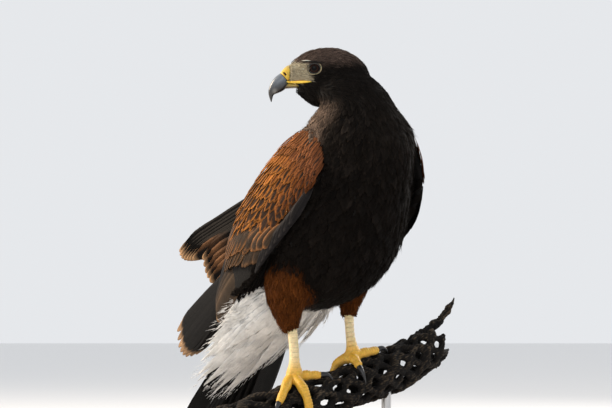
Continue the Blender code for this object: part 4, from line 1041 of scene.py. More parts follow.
# Brow shelf: its own dark brown with painted shade under the overhang; its pale streak is a painted
# highlight
BROW_DARK, BROW_GLINT = (0.012, 0.009, 0.0075), (0.430, 0.410, 0.340)
SKIN_YELLOW, CREAM_YELLOW = (0.800, 0.450, 0.045), (0.860, 0.700, 0.400)
CERE_YELLOW, CERE_TOP, NOSTRIL_SHADE = (0.66, 0.43, 0.040), (0.50, 0.38, 0.12), (0.050, 0.012, 0.006)
JAW_YELLOW, JAW_TIP, JAW_EDGE = (0.42, 0.30, 0.06), (0.045, 0.040, 0.038), (0.10, 0.066, 0.030)
BRISTLE_DARK = (0.030, 0.022, 0.016)
GAPE_YELLOW, GAPE_RED = (0.860, 0.560, 0.050), (0.640, 0.200, 0.045)
HORN_BLUE, HORN_TIP, HORN_HIGHLIGHT = (0.125, 0.148, 0.180), (0.012, 0.010, 0.010), (0.260, 0.250, 0.230)


def eye_way(hand):
    """Direction in which an eye looks."""
    return BILL_WAY * math.sin(EYE_TURN) + HEAD_LEFT * hand * math.cos(EYE_TURN)


def eye_centre(hand):
    """Centre of an eyeball."""
    return head_place(EYE_FORWARD, EYE_OUT * hand, EYE_HEIGHT) - eye_way(hand) * EYE_RADIUS


def eye_axes(hand):
    """Directions across an eye, up it and out of it."""
    way = eye_way(hand)
    across = unit(np.cross(UP, way))
    return across, np.cross(way, across), way


def eye_offsets(points, hand):
    """Offsets of points from an eyeball's centre along its axes, and as a share of its opening."""
    off = points - eye_centre(hand)
    sideways, upwards, outwards = (off @ axis for axis in eye_axes(hand))
    return sideways, upwards, outwards, np.hypot(sideways / LID_OPENING[0], upwards / LID_OPENING[1])


def eye_share(points):
    """How far points lie from the middle of the nearest eye's opening, 1 at its rim."""
    shares = []
    for hand, _ in SIDES:
        _, _, outwards, share = eye_offsets(points, hand)
        shares.append(np.where(outwards > 0, share, BEHIND_EYE))
    return np.minimum(*shares)


def open_lids(places):
    """Skin places drawn back behind the eyeball inside the lids, and kept outside it round them."""
    places = places.copy()
    for hand, _ in SIDES:
        sideways, upwards, outwards, share = eye_offsets(places, hand)
        ball = np.sqrt(np.maximum(EYE_RADIUS ** 2 - sideways ** 2 - upwards ** 2, 0.0))
        inside = (outwards > 0) & (share < LID_REACH)
        limit = ball - SKIN_BEHIND_BALL + LID_SLOPE * np.maximum(share - 1.0, 0.0)
        outside = np.maximum(outwards, ball + SKIN_OVER_BALL)
        moved = np.where(share < LID_EDGE, np.minimum(outwards, limit), outside)
        places += np.where(inside, moved - outwards, 0.0)[:, None] * eye_way(hand)
    return places


def round_about(first, second, turn):
    """Directions at angles of turn from the first way towards the second."""
    return first * np.cos(turn)[None, :, None] + second * np.sin(turn)[None, :, None]


def make_eye(hand, side):
    """Eyeball with pupil, brown iris and dark rim, round its own axis."""
    across, upward, way = eye_axes(hand)
    angles = np.linspace(0.02, math.pi - 0.02, 64)
    rings = (eye_centre(hand) + way * (np.cos(angles) * EYE_RADIUS)[:, None, None]
             + round_about(across, upward, full_turn(64)) * (np.sin(angles) * EYE_RADIUS)[:, None, None])
    made = capped_tube(f"eye_{side}_ball", rings)
    sideways, upwards, outwards, _ = eye_offsets(vertex_arrays(made)[0], hand)
    reach = np.hypot(sideways, upwards) + 10.0 * (outwards < 0)
    tint = mixed(PUPIL, IRIS, ramp(*PUPIL_RIM, reach))
    tint = mixed(tint, IRIS_EDGE, ramp(*IRIS_RIM, reach))
    dress(made, EYE, "eye", f"eye_{side}", tint=mixed(tint, PUPIL, ramp(*IRIS_END, reach)))


def lid_ring(surface, hand, grow, lift, radius, steps=72, sides=10):
    """Rim round an eye's opening, lying on the eyeball or on the skin that covers it."""
    across, _, way = eye_axes(hand)
    centre = eye_centre(hand)
    angle = full_turn(steps)
    flat = (across * (LID_OPENING[0] + grow) * np.cos(angle)[:, None]
            + UP * (LID_OPENING[1] + grow) * np.sin(angle)[:, None])
    depth = np.sqrt(np.maximum(EYE_RADIUS ** 2 - (flat ** 2).sum(1), 4.0))
    for index in range(steps if grow > 0.5 else 0):
        foot, _, _, _ = surface.ray_cast(Vector(centre + flat[index] + way * 25.0), Vector(-way))
        if foot is not None:
            depth[index] = max(depth[index], (np.array(foot) - centre) @ way)
    middle = centre + flat + way * (depth + lift)[:, None]
    out, round_way = unit(middle - centre), unit(flat)
    rings = middle[:, None] + round_about(out[:, None], round_way[:, None], full_turn(sides)) * radius
    return rings, angle


def make_lids(surface):
    """Dark inner lid and the pale ring behind and below each eye."""
    for hand, side in SIDES:
        for part, grow, lift, radius in LID_RIMS:
            rings, angle = lid_ring(surface, hand, grow, lift, radius)
            behind, below = 0.5 + 0.5 * hand * np.cos(angle), 0.5 - 0.5 * np.sin(angle)
            share = np.clip(0.75 * behind + 0.75 * below - 0.1, 0, 1) * (part == "ring")
            tint = mixed(LID_DARK, LID_PALE, share)
            sides = rings.shape[1]
            faces = grid_faces(len(rings) + 1, sides, True) % (len(rings) * sides)
            made = mesh_object(f"lid_{part}_{side}", rings.reshape(-1, 3), faces)
            dress(made, WAXY, "skin_yellow", tint=np.repeat(tint, sides, 0))


def bill_rings(stations, levels, sides):
    """Dense rings of a part of the bill through its stations."""
    angle = full_turn(sides)
    level = 0.5 + 0.5 * np.cos(angle)
    wide = np.sign(np.sin(angle)) * np.abs(np.sin(angle)) ** 0.8
    rings = []
    sections = row_at(stations, np.linspace(0, 1, levels))
    for top_ahead, top_height, edge_ahead, edge_height, half in sections:
        ahead = towards(edge_ahead, top_ahead, level)
        height = towards(edge_height, top_height, level)
        rings.append(head_place(ahead, half * wide * (1.0 - 0.22 * level), height))
    return np.array(rings)


def make_upper_bill():
    """Hooked upper bill, dark at its tip, with a painted highlight by its cutting edge."""
    upper = capped_tube("bill_hook", bill_rings(UPPER_BILL_STATIONS, 60, 64))
    ahead, _, height = in_head(vertex_arrays(upper)[0])
    tip = ramp(-1.0, -15.5, height + 0.25 * (ahead - 55))
    # Pale spot near the hook's cutting edge: a painted highlight
    pale = np.exp(-((ahead - 58.5) / 2.2) ** 2 - ((height + 15.5) / 2.4) ** 2) * 0.7
    tint = mixed(mixed(HORN_BLUE, HORN_TIP, tip), HORN_HIGHLIGHT, pale)
    dress(upper, HORN, "horn", "bill_upper", tint=tint * (1.0 + 0.35 * ramp(-1.0, 2.5, height))[:, None])


def make_cere():
    """Soft yellow cere with its slanting, rimmed nostrils."""
    cere = capped_tube("cere_soft", bill_rings(CERE_STATIONS, 60, 112))
    places, normals = vertex_arrays(cere)
    ahead, side, height = in_head(places)
    off, rise = ahead - NOSTRIL[0], height - NOSTRIL[1]
    along = off * math.cos(NOSTRIL_TILT) + rise * math.sin(NOSTRIL_TILT)
    over = -off * math.sin(NOSTRIL_TILT) + rise * math.cos(NOSTRIL_TILT)
    outer = np.abs(side) > 3.0
    hole = np.exp(-((along / 2.0) ** 4 + (over / 0.85) ** 4)) * outer
    lip = np.exp(-(((along / 2.9) ** 2 + (over / 1.8) ** 2 - 1.0) / 0.5) ** 2) * outer
    set_places(cere, places + normals * (0.28 * lip - 2.0 * hole)[:, None])
    tint = mixed(CERE_YELLOW, CERE_TOP, ramp(5, 10, height))
    # The nostril holes are painted dark: painted shade inside them
    dress(cere, WAXY, "skin_yellow", "cere", tint=mixed(tint, NOSTRIL_SHADE, np.clip(hole * 1.6, 0, 1)))


def make_lower_bill():
    """Lower bill, yellow at its root and dark at its tip."""
    lower = capped_tube("bill_below", bill_rings(LOWER_BILL_STATIONS, 48, 48))
    ahead, _, height = in_head(vertex_arrays(lower)[0])
    tint = mixed(JAW_YELLOW, JAW_TIP, ramp(44, 49, ahead))
    tint = mixed(tint, JAW_EDGE, ramp(-9.5, -11.8, height))
    dress(lower, WAXY, "skin_yellow", "bill_lower", tint=tint)


def on_head_side(surface, hand, ahead, height):
    """Places on the side of the head, found from outside, with their outward normals."""
    feet, normals = [], []
    for forward, level in zip(ahead, height):
        start = head_place(forward, 45.0 * hand, level)
        foot, normal, _, _ = surface.ray_cast(Vector(start), Vector(-HEAD_LEFT * hand))
        feet.append(foot if foot is not None else head_place(forward, 8.0 * hand, level))
        normals.append(normal if normal is not None else HEAD_LEFT * hand)
    return np.array(feet), np.array(normals)


def ridge(name, surface, hand, ahead, height, radii, lift, flatten):
    """Soft ridge laid on the side of the head."""
    feet, normals = on_head_side(surface, hand, ahead, height)
    return capped_tube(name, rings_along(feet + normals * lift, radii, 16, UP, flatten))


BRISTLES = 650                   # on each side of the face


def make_face(surface):
    """Brow shelf over each eye, dark partly in its own brown and partly as painted shade under the
    overhang, with a pale streak along it as a painted highlight, and a yellow gape strip.
    """
    share = np.linspace(0, 1, 30)
    shelf_height = 12.2 + 1.2 * np.sin(math.pi * share ** 0.8) - 2.0 * share
    shelf_radii = 0.30 + 1.25 * np.sin(math.pi * np.clip(share * 1.05, 0, 1)) ** 0.8
    glint_radii = 0.12 + 0.55 * np.sin(math.pi * share) ** 0.7
    gape_radii = 1.5 * (1 - 0.6 * share ** 4) * (0.4 + 0.6 * ramp(0.0, 0.25, share))
    gape_radii = gape_radii + 0.3 * np.exp(-((share - 0.6) / 0.2) ** 2)
    for hand, side in SIDES:
        # Shelf: its own dark brown, partly painted shade under the overhang
        shelf = ridge(f"brow_{side}", surface, hand, 33.5 - 25.0 * share, shelf_height, shelf_radii,
                      0.45, 0.75)
        dress(shelf, SKIN, "feather_dark", tint=np.tile(BROW_DARK, (len(shelf.data.vertices), 1)))
        # Pale streak: a painted highlight along the brow's edge
        streak = ridge(f"brow_glint_{side}", surface, hand, 32.0 - 9.5 * share, 13.6 - 0.6 * share,
                       glint_radii, 1.25, 0.8)
        dress(streak, WAXY, "skin_yellow", tint=np.tile(BROW_GLINT, (len(streak.data.vertices), 1)))
        gape = ridge(f"gape_{side}", surface, hand, 46.8 - 23.4 * share, -6.5 - 0.7 * share, gape_radii,
                     0.35, 0.85)
        ahead, _, height = in_head(vertex_arrays(gape)[0])
        red = ramp(-6.2, -5.7, height) * ramp(42, 38, ahead)
        dress(gape, WAXY, "skin_yellow", tint=mixed(GAPE_YELLOW, GAPE_RED, red))


def make_bristles(surface):
    """Short bristles on the lores, some of them dark."""
    roots, ways = [], []
    for hand, _ in SIDES:
        ahead = RANDOM.uniform(26, 45, BRISTLES)
        height = RANDOM.uniform(-5.5, 10.0, BRISTLES)
        feet, normals = on_head_side(surface, hand, ahead, height)
        roots.append(feet)
        ways.append(unit(normals * 0.50 - BILL_WAY * RANDOM.uniform(0.0, 0.8, (BRISTLES, 1))
                         + UP * RANDOM.uniform(-0.4, 0.8, (BRISTLES, 1))))
    roots, ways = np.concatenate(roots), np.concatenate(ways)
    dark = RANDOM.random(len(roots)) < 0.35
    tint = np.where(dark[:, None], BRISTLE_DARK, LORES)
    wisps("lore_bristles", roots, ways, RANDOM.uniform(1.8, 4.2, len(roots)), 0.14, 0.25,
          plain(tint), COAT, "feather_dark", unwrap_body)


# ---------------------------------------------------------------- wings
# Points on a wing are along and dorsal. Rows of long feathers have along, side and dorsal.
SHOULDER_LINES = {
    1: ((58, -40), (76, -32), (88, -17), (92, 0), (90, 17), (82, 33), (66, 50)),
    -1: ((44, -34), (57, -28), (68, -17), (75, -5), (76, 8), (70, 22), (56, 38))}
MEDIAN_LINE = ((-20, -17), (-30, -4), (-41, 10), (-54, 25), (-64, 40), (-66, 52), (-55, 62))
SMALL_COVERT_ROWS, ROWS_SPREAD = 11, 1.30
COVERT_LENGTH, COVERT_LENGTH_GAIN = 17.0, 24.0      # in the first row, and more in the last
COVERT_WIDTH, COVERT_WIDTH_GAIN = 5.2, 9.6
COVERT_ROW_LENGTH, COVERT_OVERLAP = 104.0, 0.66     # and the share of a width from covert to covert
COVERT_LEAN = -40.0              # turns the small coverts towards the wing's front edge
COVERT_CENTRE = (0.026, 0.0190, 0.0150)
# Layers of greater coverts: count, how much shorter than the lowest, heights of root and tip, rim colour
GREATER_COVERT_LAYERS = ((15, 0.34, -0.4, 3.1, COVERT_RIM), (16, 0.0, -1.6, 2.0, GREY_BROWN_EDGE))
NOWHERE = ((0.0, 1.0), (0.0, 0.0))      # a share of nought from the first feather of a row to the last
GREATER_COVERT_TIPS = ((-54, -9), (-66, 8), (-80, 28), (-95, 43), (-97, 55), (-88, 63))
GREATER_COVERT_ROOTS = ((-2, -24), (-12, -6), (-24, 14), (-36, 30), (-38, 44), (-32, 54))
EDGE_COVERT_TIPS = {1: ((-66, -7), (-30, -22), (2, -36)), -1: ((-63, -13), (-32, -23), (0, -32))}
EDGE_COVERT_ROOTS = {1: ((10, -30), (34, -38), (52, -42)), -1: ((8, -28), (28, -33), (44, -32))}
# Name, tips, roots, count, width, and the shares of a paler brown painted as sunlight and of a rim of
# painted backlight along the row
SECONDARIES = {
    -1: (("secondaries_right",
          ((-151, 48, 47), (-143, 45, 56), (-128, 40, 64), (-108, 35, 69), (-84, 30, 71)),
          ((-62, 72, 6), (-48, 74, 20), (-34, 70, 34), (-18, 60, 46), (0, 46, 54)), 12, 21.0,
          ((0.0, 0.14, 0.28, 1.0), (0.9, 0.7, 0.0, 0.0)), NOWHERE),),
    1: (("secondaries_left",
         ((-186, 24, 100), (-177, 20, 112), (-162, 13, 125), (-155, 9, 140), (-150, 9, 152),
          (-141, 10, 164)),
         ((-50, 70, 20), (-42, 68, 32), (-32, 64, 44), (-20, 62, 54), (-8, 58, 62), (4, 54, 68)),
         11, 27.0,
         NOWHERE, ((0.0, 0.35, 0.5, 0.9, 1.0), (0.0, 0.0, 0.9, 1.0, 0.3))),
        ("tertials_left",
         ((-148, 10, 176), (-153, 11, 184), (-156, 11, 191), (-156, 10, 197), (-152, 9, 201)),
         ((1, 54, 67), (9, 51, 69), (17, 49, 70), (24, 47, 72), (30, 46, 72)), 7, 22.0,
         NOWHERE, ((0.0, 0.17, 1.0), (0.8, 0.0, 0.0))))}
LOWER_TIPS = ((-89, 44, 12), (-103, 44, 21), (-119, 44, 29), (-136, 44, 38), (-153, 44, 48))
LOWER_ROOTS = ((-12, 66, -16), (-34, 68, -10), (-56, 70, 0))
PRIMARY_TIPS = ((-214, 21, 89), (-222, 24, 98), (-223, 25, 106), (-218, 26, 114), (-205, 27, 122))
PRIMARY_ROOTS = ((-50, 70, -8), (-48, 70, -3), (-46, 69, 2), (-44, 68, 7))


def unwrap_wing(points):
    """Place of points on the folded wing's outer face, laid flat."""
    along, _, dorsal = in_body(points)
    return np.stack((on_map(along, -240, 350), on_map(dorsal, -60, 280)), -1)


def covert_lines(hand, roots, tips, rows, low, high, arch=0.8):
    """Lines over the wing from roots to tips, given as along and dorsal, rising from low to high."""
    share = np.linspace(0.0, 1.0, rows)
    places = roots[:, None] + (tips - roots)[:, None] * share[None, :, None]
    low, high = np.broadcast_to(low, len(roots))[:, None], np.broadcast_to(high, len(roots))[:, None]
    lift = low + (high - low) * share ** 0.8 + arch * np.sin(math.pi * share)
    lines = envelope_at(hand, places[..., 0], places[..., 1], lift)
    return lines, envelope_way(hand, places[..., 0], places[..., 1])


def sunlit(points):
    """How far a covert lies towards the wing's back edge, where painted sunlight makes the plumage
    brightest.
    """
    return ramp(-30, 24, dorsal_of(points))


def small_covert_tint(u, v, points):
    """Rufous vane in painted shade towards the wing's front and in painted sunlight towards its back,
    with orange rims and a dark, pointed centre that grows down the wing.
    """
    roots = points[:, 0]
    count = len(roots)
    along, _, _ = in_body(roots)
    sun, down, top = sunlit(roots), ramp(74, -6, along), ramp(54, 74, along)
    edge = np.maximum(np.abs(u) ** 2.2, ramp(0.78, 0.97, v))
    middle = mixed(mixed(COVERT_SHADE, COVERT_SUN, sun), DULL_RED, 0.65 * top)
    rim = mixed(mixed(COVERT_SHADE_EDGE, COVERT_SUN_EDGE, sun), DULL_RED_EDGE, 0.65 * top)
    tint = mixed(middle[:, None], rim[:, None], edge)
    size = 0.30 + 0.62 * down + 0.08 * RANDOM.standard_normal(count)
    size = size * (RANDOM.random(count) < 0.15 + 1.9 * down)
    size = np.clip(size, 0.01, 0.80)[:, None] * np.sin(math.pi * np.clip((v - 0.10) / 0.86, 0, 1)) ** 0.6
    core = ramp(1.15, 0.80, np.abs(u) / np.maximum(size, 0.01)) * ramp(0.95, 0.87, v)
    return mixed(tint, COVERT_CENTRE, core * 0.95) * varied(0.16, (count, 1, 1))


def long_tint(tip_colour, tip_from, warm=NOWHERE, lit=NOWHERE):
    """Colour of a row of long feathers: black vanes with slightly paler edges and a pale tip.

    Warm and lit give, from the first feather to the last, the share of a rim of painted backlight on the
    side that shows and of a paler brown painted as sunlight.
    """
    def colour(u, v, points):
        place = np.linspace(0, 1, len(points))
        inside = mixed(BLACK, LIT_BROWN, np.interp(place, *lit))
        outside = mixed(BLACK_EDGE, LIT_BROWN_EDGE, np.interp(place, *lit))
        tint = mixed(inside[:, None], outside[:, None], np.abs(u) ** 4)
        tint = mixed(tint, tip_colour, ramp(tip_from, min(tip_from + 0.02, 1.0), v))
        # Rim of painted backlight on the side that shows
        rim = ramp(0.35, 0.85, -u) * ramp(0.78, 0.92, v) * np.interp(place, *warm)[:, None]
        return mixed(tint, BACKLIT_RIM, rim * 0.85) * varied(0.10, (len(points), 1, 1))
    return colour


def bent_lines(roots, bends, tips, rows):
    """Centre lines from roots to tips by way of their bends."""
    t = 1.0 - (1.0 - np.linspace(0.0, 1.0, rows)[None, :, None]) ** 1.5
    return roots[:, None] * (1 - t) ** 2 + bends[:, None] * 2 * t * (1 - t) + tips[:, None] * t ** 2


def rolled(lines, face_way, roll):
    """Outward normals of long feathers that look towards face_way, rolled about their quills."""
    tangents = unit(np.gradient(lines, axis=1))
    across = unit(np.cross(tangents, face_way))
    normals = np.cross(across, tangents)
    normals = np.where((normals * face_way).sum(-1, keepdims=True) < 0, -normals, normals)
    return unit(normals * math.cos(roll) + np.cross(tangents, normals) * math.sin(roll))


def flight_row(name, hand, tips, roots, count, width, tint, spread_out, droop, roll=0.0, rows=18):
    """Row of long wing feathers, each a step further out than the one before.

    Droop bends their middles out, and roll turns them about their quills, in degrees.
    """
    share = np.linspace(0.0, 1.0, count)
    tip, root = row_at(tips, share), row_at(roots, share)
    out = spread_out * share
    tip_places = body_place(tip[:, 0], (tip[:, 1] + out) * hand, tip[:, 2])
    root_places = body_place(root[:, 0], (root[:, 1] + out * 0.6) * hand, root[:, 2])
    bends = (tip_places + root_places) / 2 + LEFT * hand * droop
    lines = bent_lines(root_places, bends, tip_places, rows)
    way = envelope_way(hand, np.maximum((tip[:, 0] + root[:, 0]) / 2, -150), np.minimum(root[:, 2], 40))
    outwards = rolled(lines, way[:, None], math.radians(roll * hand))
    widths = width * varied(0.03, count)
    vanes(name, lines, outwards, widths, tint, SLEEK, "feather_black", unwrap_wing, **FLIGHT_CUT,
          shaft=0.14 * hand)


def make_small_coverts(hand, side):
    """Small coverts in rows from the shoulder down the wing, longer from row to row."""
    roots, tips, reach, widths = [], [], [], []
    for row, place in enumerate(np.linspace(0.0, 1.0, SMALL_COVERT_ROWS) ** ROWS_SPREAD):
        length = COVERT_LENGTH + COVERT_LENGTH_GAIN * place
        width = COVERT_WIDTH + COVERT_WIDTH_GAIN * place
        count = int(round(COVERT_ROW_LENGTH / (width * COVERT_OVERLAP)))
        t = (np.arange(count) + 0.5 * (row % 2) + 0.25 + 0.16 * RANDOM.standard_normal(count)) / count
        t = np.clip(t, 0.0, 1.0)
        upper, lower = row_at(SHOULDER_LINES[hand], t), row_at(MEDIAN_LINE, t)
        end = upper + (lower - upper) * (0.06 + 0.94 * place)
        lean = np.stack((np.zeros(count), COVERT_LEAN * (1.0 - 0.7 * t)), -1)
        way = unit(lower - upper + lean + 6.0 * RANDOM.standard_normal((count, 2)))
        tips.append(end + (0.8 + 2.0 * place) * RANDOM.standard_normal((count, 2)))
        roots.append(end - way * length)
        reach.append(np.full(count, 1.1 + 0.8 * place) * (1 + 0.22 * RANDOM.standard_normal(count)))
        widths.append(np.full(count, width) * (1 + 0.09 * RANDOM.standard_normal(count)))
    roots, tips = np.concatenate(roots), np.concatenate(tips)
    lines, outwards = covert_lines(hand, roots, tips, 8, -2.3, np.concatenate(reach), 0.3)
    made = vanes(f"small_coverts_{side}", lines, outwards, np.concatenate(widths), small_covert_tint,
                 COAT, "feather_rufous", unwrap_wing, **SMALL_COVERT_CUT)
    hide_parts(f"wing_{side}")


def make_greater_coverts(hand, side):
    """Two layers of greater coverts and the dark coverts along the wing's front edge."""
    for layer, (count, short, low, high, rim) in enumerate(GREATER_COVERT_LAYERS):
        share = np.clip((np.arange(count) + 0.5 * layer) / (count - 0.5), 0, 1)
        root, tip = row_at(GREATER_COVERT_ROOTS, share), row_at(GREATER_COVERT_TIPS, share)
        tip = tip + (root - tip) * short + 1.6 * RANDOM.standard_normal((count, 2))
        lines, outwards = covert_lines(hand, root, tip, 14, low, high)
        vanes(f"greater_coverts_{side}_{layer + 1}", lines, outwards, np.full(count, 12.0),
              edged(GREY_BROWN, rim, 0.12), SLEEK, "feather_rufous", unwrap_wing, **GREATER_COVERT_CUT)
    share = np.linspace(0.0, 1.0, 9)
    root, tip = row_at(EDGE_COVERT_ROOTS[hand], share), row_at(EDGE_COVERT_TIPS[hand], share)
    lines, outwards = covert_lines(hand, root, tip, 14, -1.0, 2.4)
    vanes(f"edge_coverts_{side}", lines, outwards, np.full(9, 11.0), edged(SLATE, SLATE_EDGE, 0.08),
          SLEEK, "feather_black", unwrap_wing, **EDGE_COVERT_CUT)


def make_wing(hand, side):
    """Plumage of a folded wing from the small coverts on its shoulder to its flight feathers."""
    make_small_coverts(hand, side)
    make_greater_coverts(hand, side)
    flight_row(f"lower_flight_{side}", hand, LOWER_TIPS, LOWER_ROOTS, 7, 20.0, long_tint(BLACK, 0.98),
               spread_out=0.8, droop=5.0)
    flight_row(f"primaries_{side}", hand, PRIMARY_TIPS, PRIMARY_ROOTS, 8, 17.0,
               long_tint(PRIMARY_TIP, 0.925), spread_out=-1.0, droop=4.0)
    for name, tips, roots, count, width, lit, warm in SECONDARIES[hand]:
        flight_row(name, hand, tips, roots, count, width, long_tint(BUFF, 0.975, warm, lit),
                   spread_out=2.4, droop=9.0, roll=12.0)


# ---------------------------------------------------------------- tail
TAIL_LENGTH, TAIL_FEATHERS, TAIL_FEATHER_WIDTH, TAIL_STEP = 222.0, 12, 29.0, 1.7
TAIL_HALF_WIDTHS = (9.0, 34.0, 41.0)
UNDER_COVERT_TIPS = (
    (-112, -55, 18), (-128, -58, 25), (-146, -59, 32), (-165, -59, 38), (-184, -58, 42), (-202, -57, 43),
    (-218, -54, 43), (-231, -47, 41), (-236, -35, 40), (-239, -16, 37), (-230, -8, 35), (-214, -3, 32),
    (-204, 8, 30), (-200, 20, 28), (-186, 32, 27), (-170, 41, 24), (-165, 47, 17), (-152, 49, 13),
    (-138, 50, 9), (-122, 50, 4), (-104, 50, -1))
UNDER_COVERT_ROOTS = (
    (-92, -44, 10), (-84, -34, -12), (-78, -10, -26), (-80, 14, -24), (-84, 34, -12), (-90, 43, -4))
UNDER_COVERT_LAYERS = (          # count, reach to the fan's rim, how far out of it
    (30, 1.0, 0.0), (30, 0.86, 2.0), (28, 0.72, 3.6), (26, 0.57, 4.6), (24, 0.42, 5.0), (20, 0.28, 5.0))
DOWN_ROUNDS = 30                 # strands of down on each plume under the tail
OVER_COVERT_LAYERS = ((14, 1.0, 0.0), (12, 0.72, 1.6))      # count, reach, height
UPPER_COVERT_TIPS = ((-28, -150), (-14, -166), (0, -172), (14, -166), (28, -150))


def tail_tint(u, v, points):
    """Tail feather: white at its root, black, then a broad white tip."""
    tint = mixed(BLACK, BLACK_EDGE, np.abs(u) ** 4 * 0.5)
    tint = mixed(tint, WHITE, np.maximum(ramp(0.24, 0.18, v), ramp(0.895, 0.915, v)))
    return tint * varied(0.05, (len(points), 1, 1))


def make_tail():
    """Twelve tail feathers, the middle pair uppermost."""
    half_root, half_middle, half_tip = TAIL_HALF_WIDTHS
    index = np.arange(TAIL_FEATHERS)
    middle = (TAIL_FEATHERS - 1) / 2
    place, rank = (index - middle) / middle, np.abs(index - middle) - 0.5
    drop = -TAIL_STEP * rank - 0.7 * (place > 0)
    roots = tail_place(4.0, half_root * place, -3.0 + drop * 0.3)
    bends = tail_place(TAIL_LENGTH * 0.5, (2 * half_middle - 0.5 * (half_root + half_tip)) * place, drop)
    tips = tail_place(TAIL_LENGTH - 2.0 * rank, half_tip * place, drop)
    lines = bent_lines(roots, bends, tips, 20)
    widths = np.full(TAIL_FEATHERS, TAIL_FEATHER_WIDTH)
    made = vanes("tail_feathers", lines, rolled(lines, DORSAL, 0.0), widths, tail_tint, SLEEK,
                 "feather_black", unwrap_wing, **TAIL_CUT)
    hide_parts("tail")


def under_covert_layer(name, count, reach, out):
    """Layer of soft plumes spread under the tail, out to a share of the way to the fan's rim."""
    share = (np.arange(count) + RANDOM.uniform(0.2, 0.8, count)) / count
    root, tip = row_at(UNDER_COVERT_ROOTS, share), row_at(UNDER_COVERT_TIPS, share)
    tip = root + (tip - root) * (reach * RANDOM.uniform(0.93, 1.0, count))[:, None]
    tip += RANDOM.normal(0.0, (1.2, 2.0, 1.2), (count, 3)) * (1.0 if reach < 1.0 else 0.5)
    root_places, tip_places = body_place(*root.T), body_place(*tip.T)
    belly = unit(-DORSAL + LEFT * (root[:, 1:2] / 45.0))
    rise = np.clip(np.linalg.norm(tip_places - root_places, axis=1, keepdims=True) / 90.0, 0.1, 1.0)
    bends = (root_places * 0.5 + tip_places * 0.5) + belly * rise * (out + 3.0 + 4.0 * reach)
    lines = bent_lines(root_places, bends, tip_places + belly * out * 0.5, 14)
    widths = 19.0 * varied(0.12, count)
    outwards = rolled(lines, belly[:, None], 0.0)
    made = vanes(name, lines, outwards, widths, edged(WHITE, WHITE_EDGE, 0.03), PALE, "feather_white",
                 unwrap_wing, **UNDER_COVERT_CUT)
    return made, lines, outwards


def over_covert_layer(name, count, reach, higher):
    """Layer of white feathers over the root of the tail."""
    share = (np.arange(count) + 0.5 * RANDOM.random(count)) / (count - 0.5)
    tip = row_at(UPPER_COVERT_TIPS, np.clip(share, 0, 1))
    place = 2 * share - 1
    back = (TAIL_ROOT[0] - tip[:, 1]) * (reach + 0.05 * RANDOM.standard_normal(count))
    roots = tail_place(6.0 * reach, 16.0 * place, 10.0)
    tips = tail_place(back, tip[:, 0], 4.8 + higher)
    lines = bent_lines(roots, (roots + tips) / 2 + DORSAL * 2.0, tips, 12)
    return vanes(name, lines, rolled(lines, DORSAL, 0.0), np.full(count, 15.0),
                 edged(WHITE, WHITE_EDGE, 0.04), PALE, "feather_white", unwrap_wing, **OVER_COVERT_CUT)


def make_tail_coverts():
    """White plumes under the tail with loose down at their edges, and white feathers over its root."""
    roots, ways = [], []
    for layer, (count, reach, out) in enumerate(UNDER_COVERT_LAYERS):
        made, lines, outwards = under_covert_layer(f"under_coverts_{layer + 1}", count, reach, out)
        if layer == 0:
            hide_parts("undertail_coverts")
        tangents = unit(np.gradient(lines, axis=1))
        across = np.cross(tangents, outwards)
        picked = np.arange(count)
        for _ in range(DOWN_ROUNDS):
            row = RANDOM.integers(3, 13, count)
            hand = RANDOM.uniform(-1, 1, (count, 1))
            place, way, aside, out = (rows[picked, row] for rows in (lines, tangents, across, outwards))
            roots.append(place + aside * hand * 7.0 + out * 0.4)
            ways.append(unit(way + aside * hand * 0.22 + out * RANDOM.uniform(-0.1, 0.08, (count, 1))))
    for layer, (count, reach, higher) in enumerate(OVER_COVERT_LAYERS):
        made = over_covert_layer(f"over_coverts_{layer + 1}", count, reach, higher)
        if layer == 0:
            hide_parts("uppertail_coverts")
    roots, ways = np.concatenate(roots), np.concatenate(ways)
    wisps("under_down", roots, ways, RANDOM.uniform(5.0, 12.0, len(roots)), 0.6, 0.10,
          plain(WHITE_EDGE), PALE, "feather_white", unwrap_wing)


# ---------------------------------------------------------------- perch
PERCH_LINE = (
    ((-95, -66, 66), 23), ((-73, -53, 74), 23.5), ((-45, -34, 82), 23.5), ((-15.5, -14, 90.5), 23.5),
    ((14, 6, 99), 23), ((43, 27, 110.5), 23), ((70, 45, 119), 23.5), ((95, 61, 130), 23),
    ((118, 76, 144), 22), ((134, 87, 157), 20.5))
SPLINTER = ((112, 74, 158), (131, 86, 172), (142, 92, 185), (150, 96, 198))
STRANDS, STRAND_RADIUS = 12, 4.3
STRAND_WAVES = 10.5
STRAND_SWING, STRAND_TWIST = 10.5, 34.0     # degrees to each side in waves, and round the perch in all
SPLINTER_STRANDS = 3
BARK_LIMIT = 0.9                 # how far the bark may rise over the perch's radius
# Painted highlight on the wood's outer ridges and painted shade in its hollows
WOOD_LIT, WOOD_DARK = (0.130, 0.096, 0.062), (0.0060, 0.0042, 0.0032)


def perch_at(share):
    """Centres, radii and ways along, up and to the front of the perch at shares of its length."""
    last = len(PERCH_LINE) - 1
    table = [(index / last, *centre, radius) for index, (centre, radius) in enumerate(PERCH_LINE)]
    share = np.asarray(share, float)
    values = table_at(table, share)
    before, after = np.maximum(share - 0.02, 0.0), np.minimum(share + 0.02, 1.0)
    step = table_at(table, after) - table_at(table, before)
    along = unit(step[..., :3])
    front = unit(np.cross(along, UP))
    return values[..., :3], values[..., 3], along, np.cross(front, along), front


def perch_place(share, degrees, out=0.0):
    """Places beside the perch: angle from its top towards the front, out from its bark."""
    centre, radius, _, upward, front = perch_at(share)
    turn = np.radians(degrees)
    way = upward * np.cos(turn)[..., None] + front * np.sin(turn)[..., None]
    return centre + way * (radius + out)[..., None]


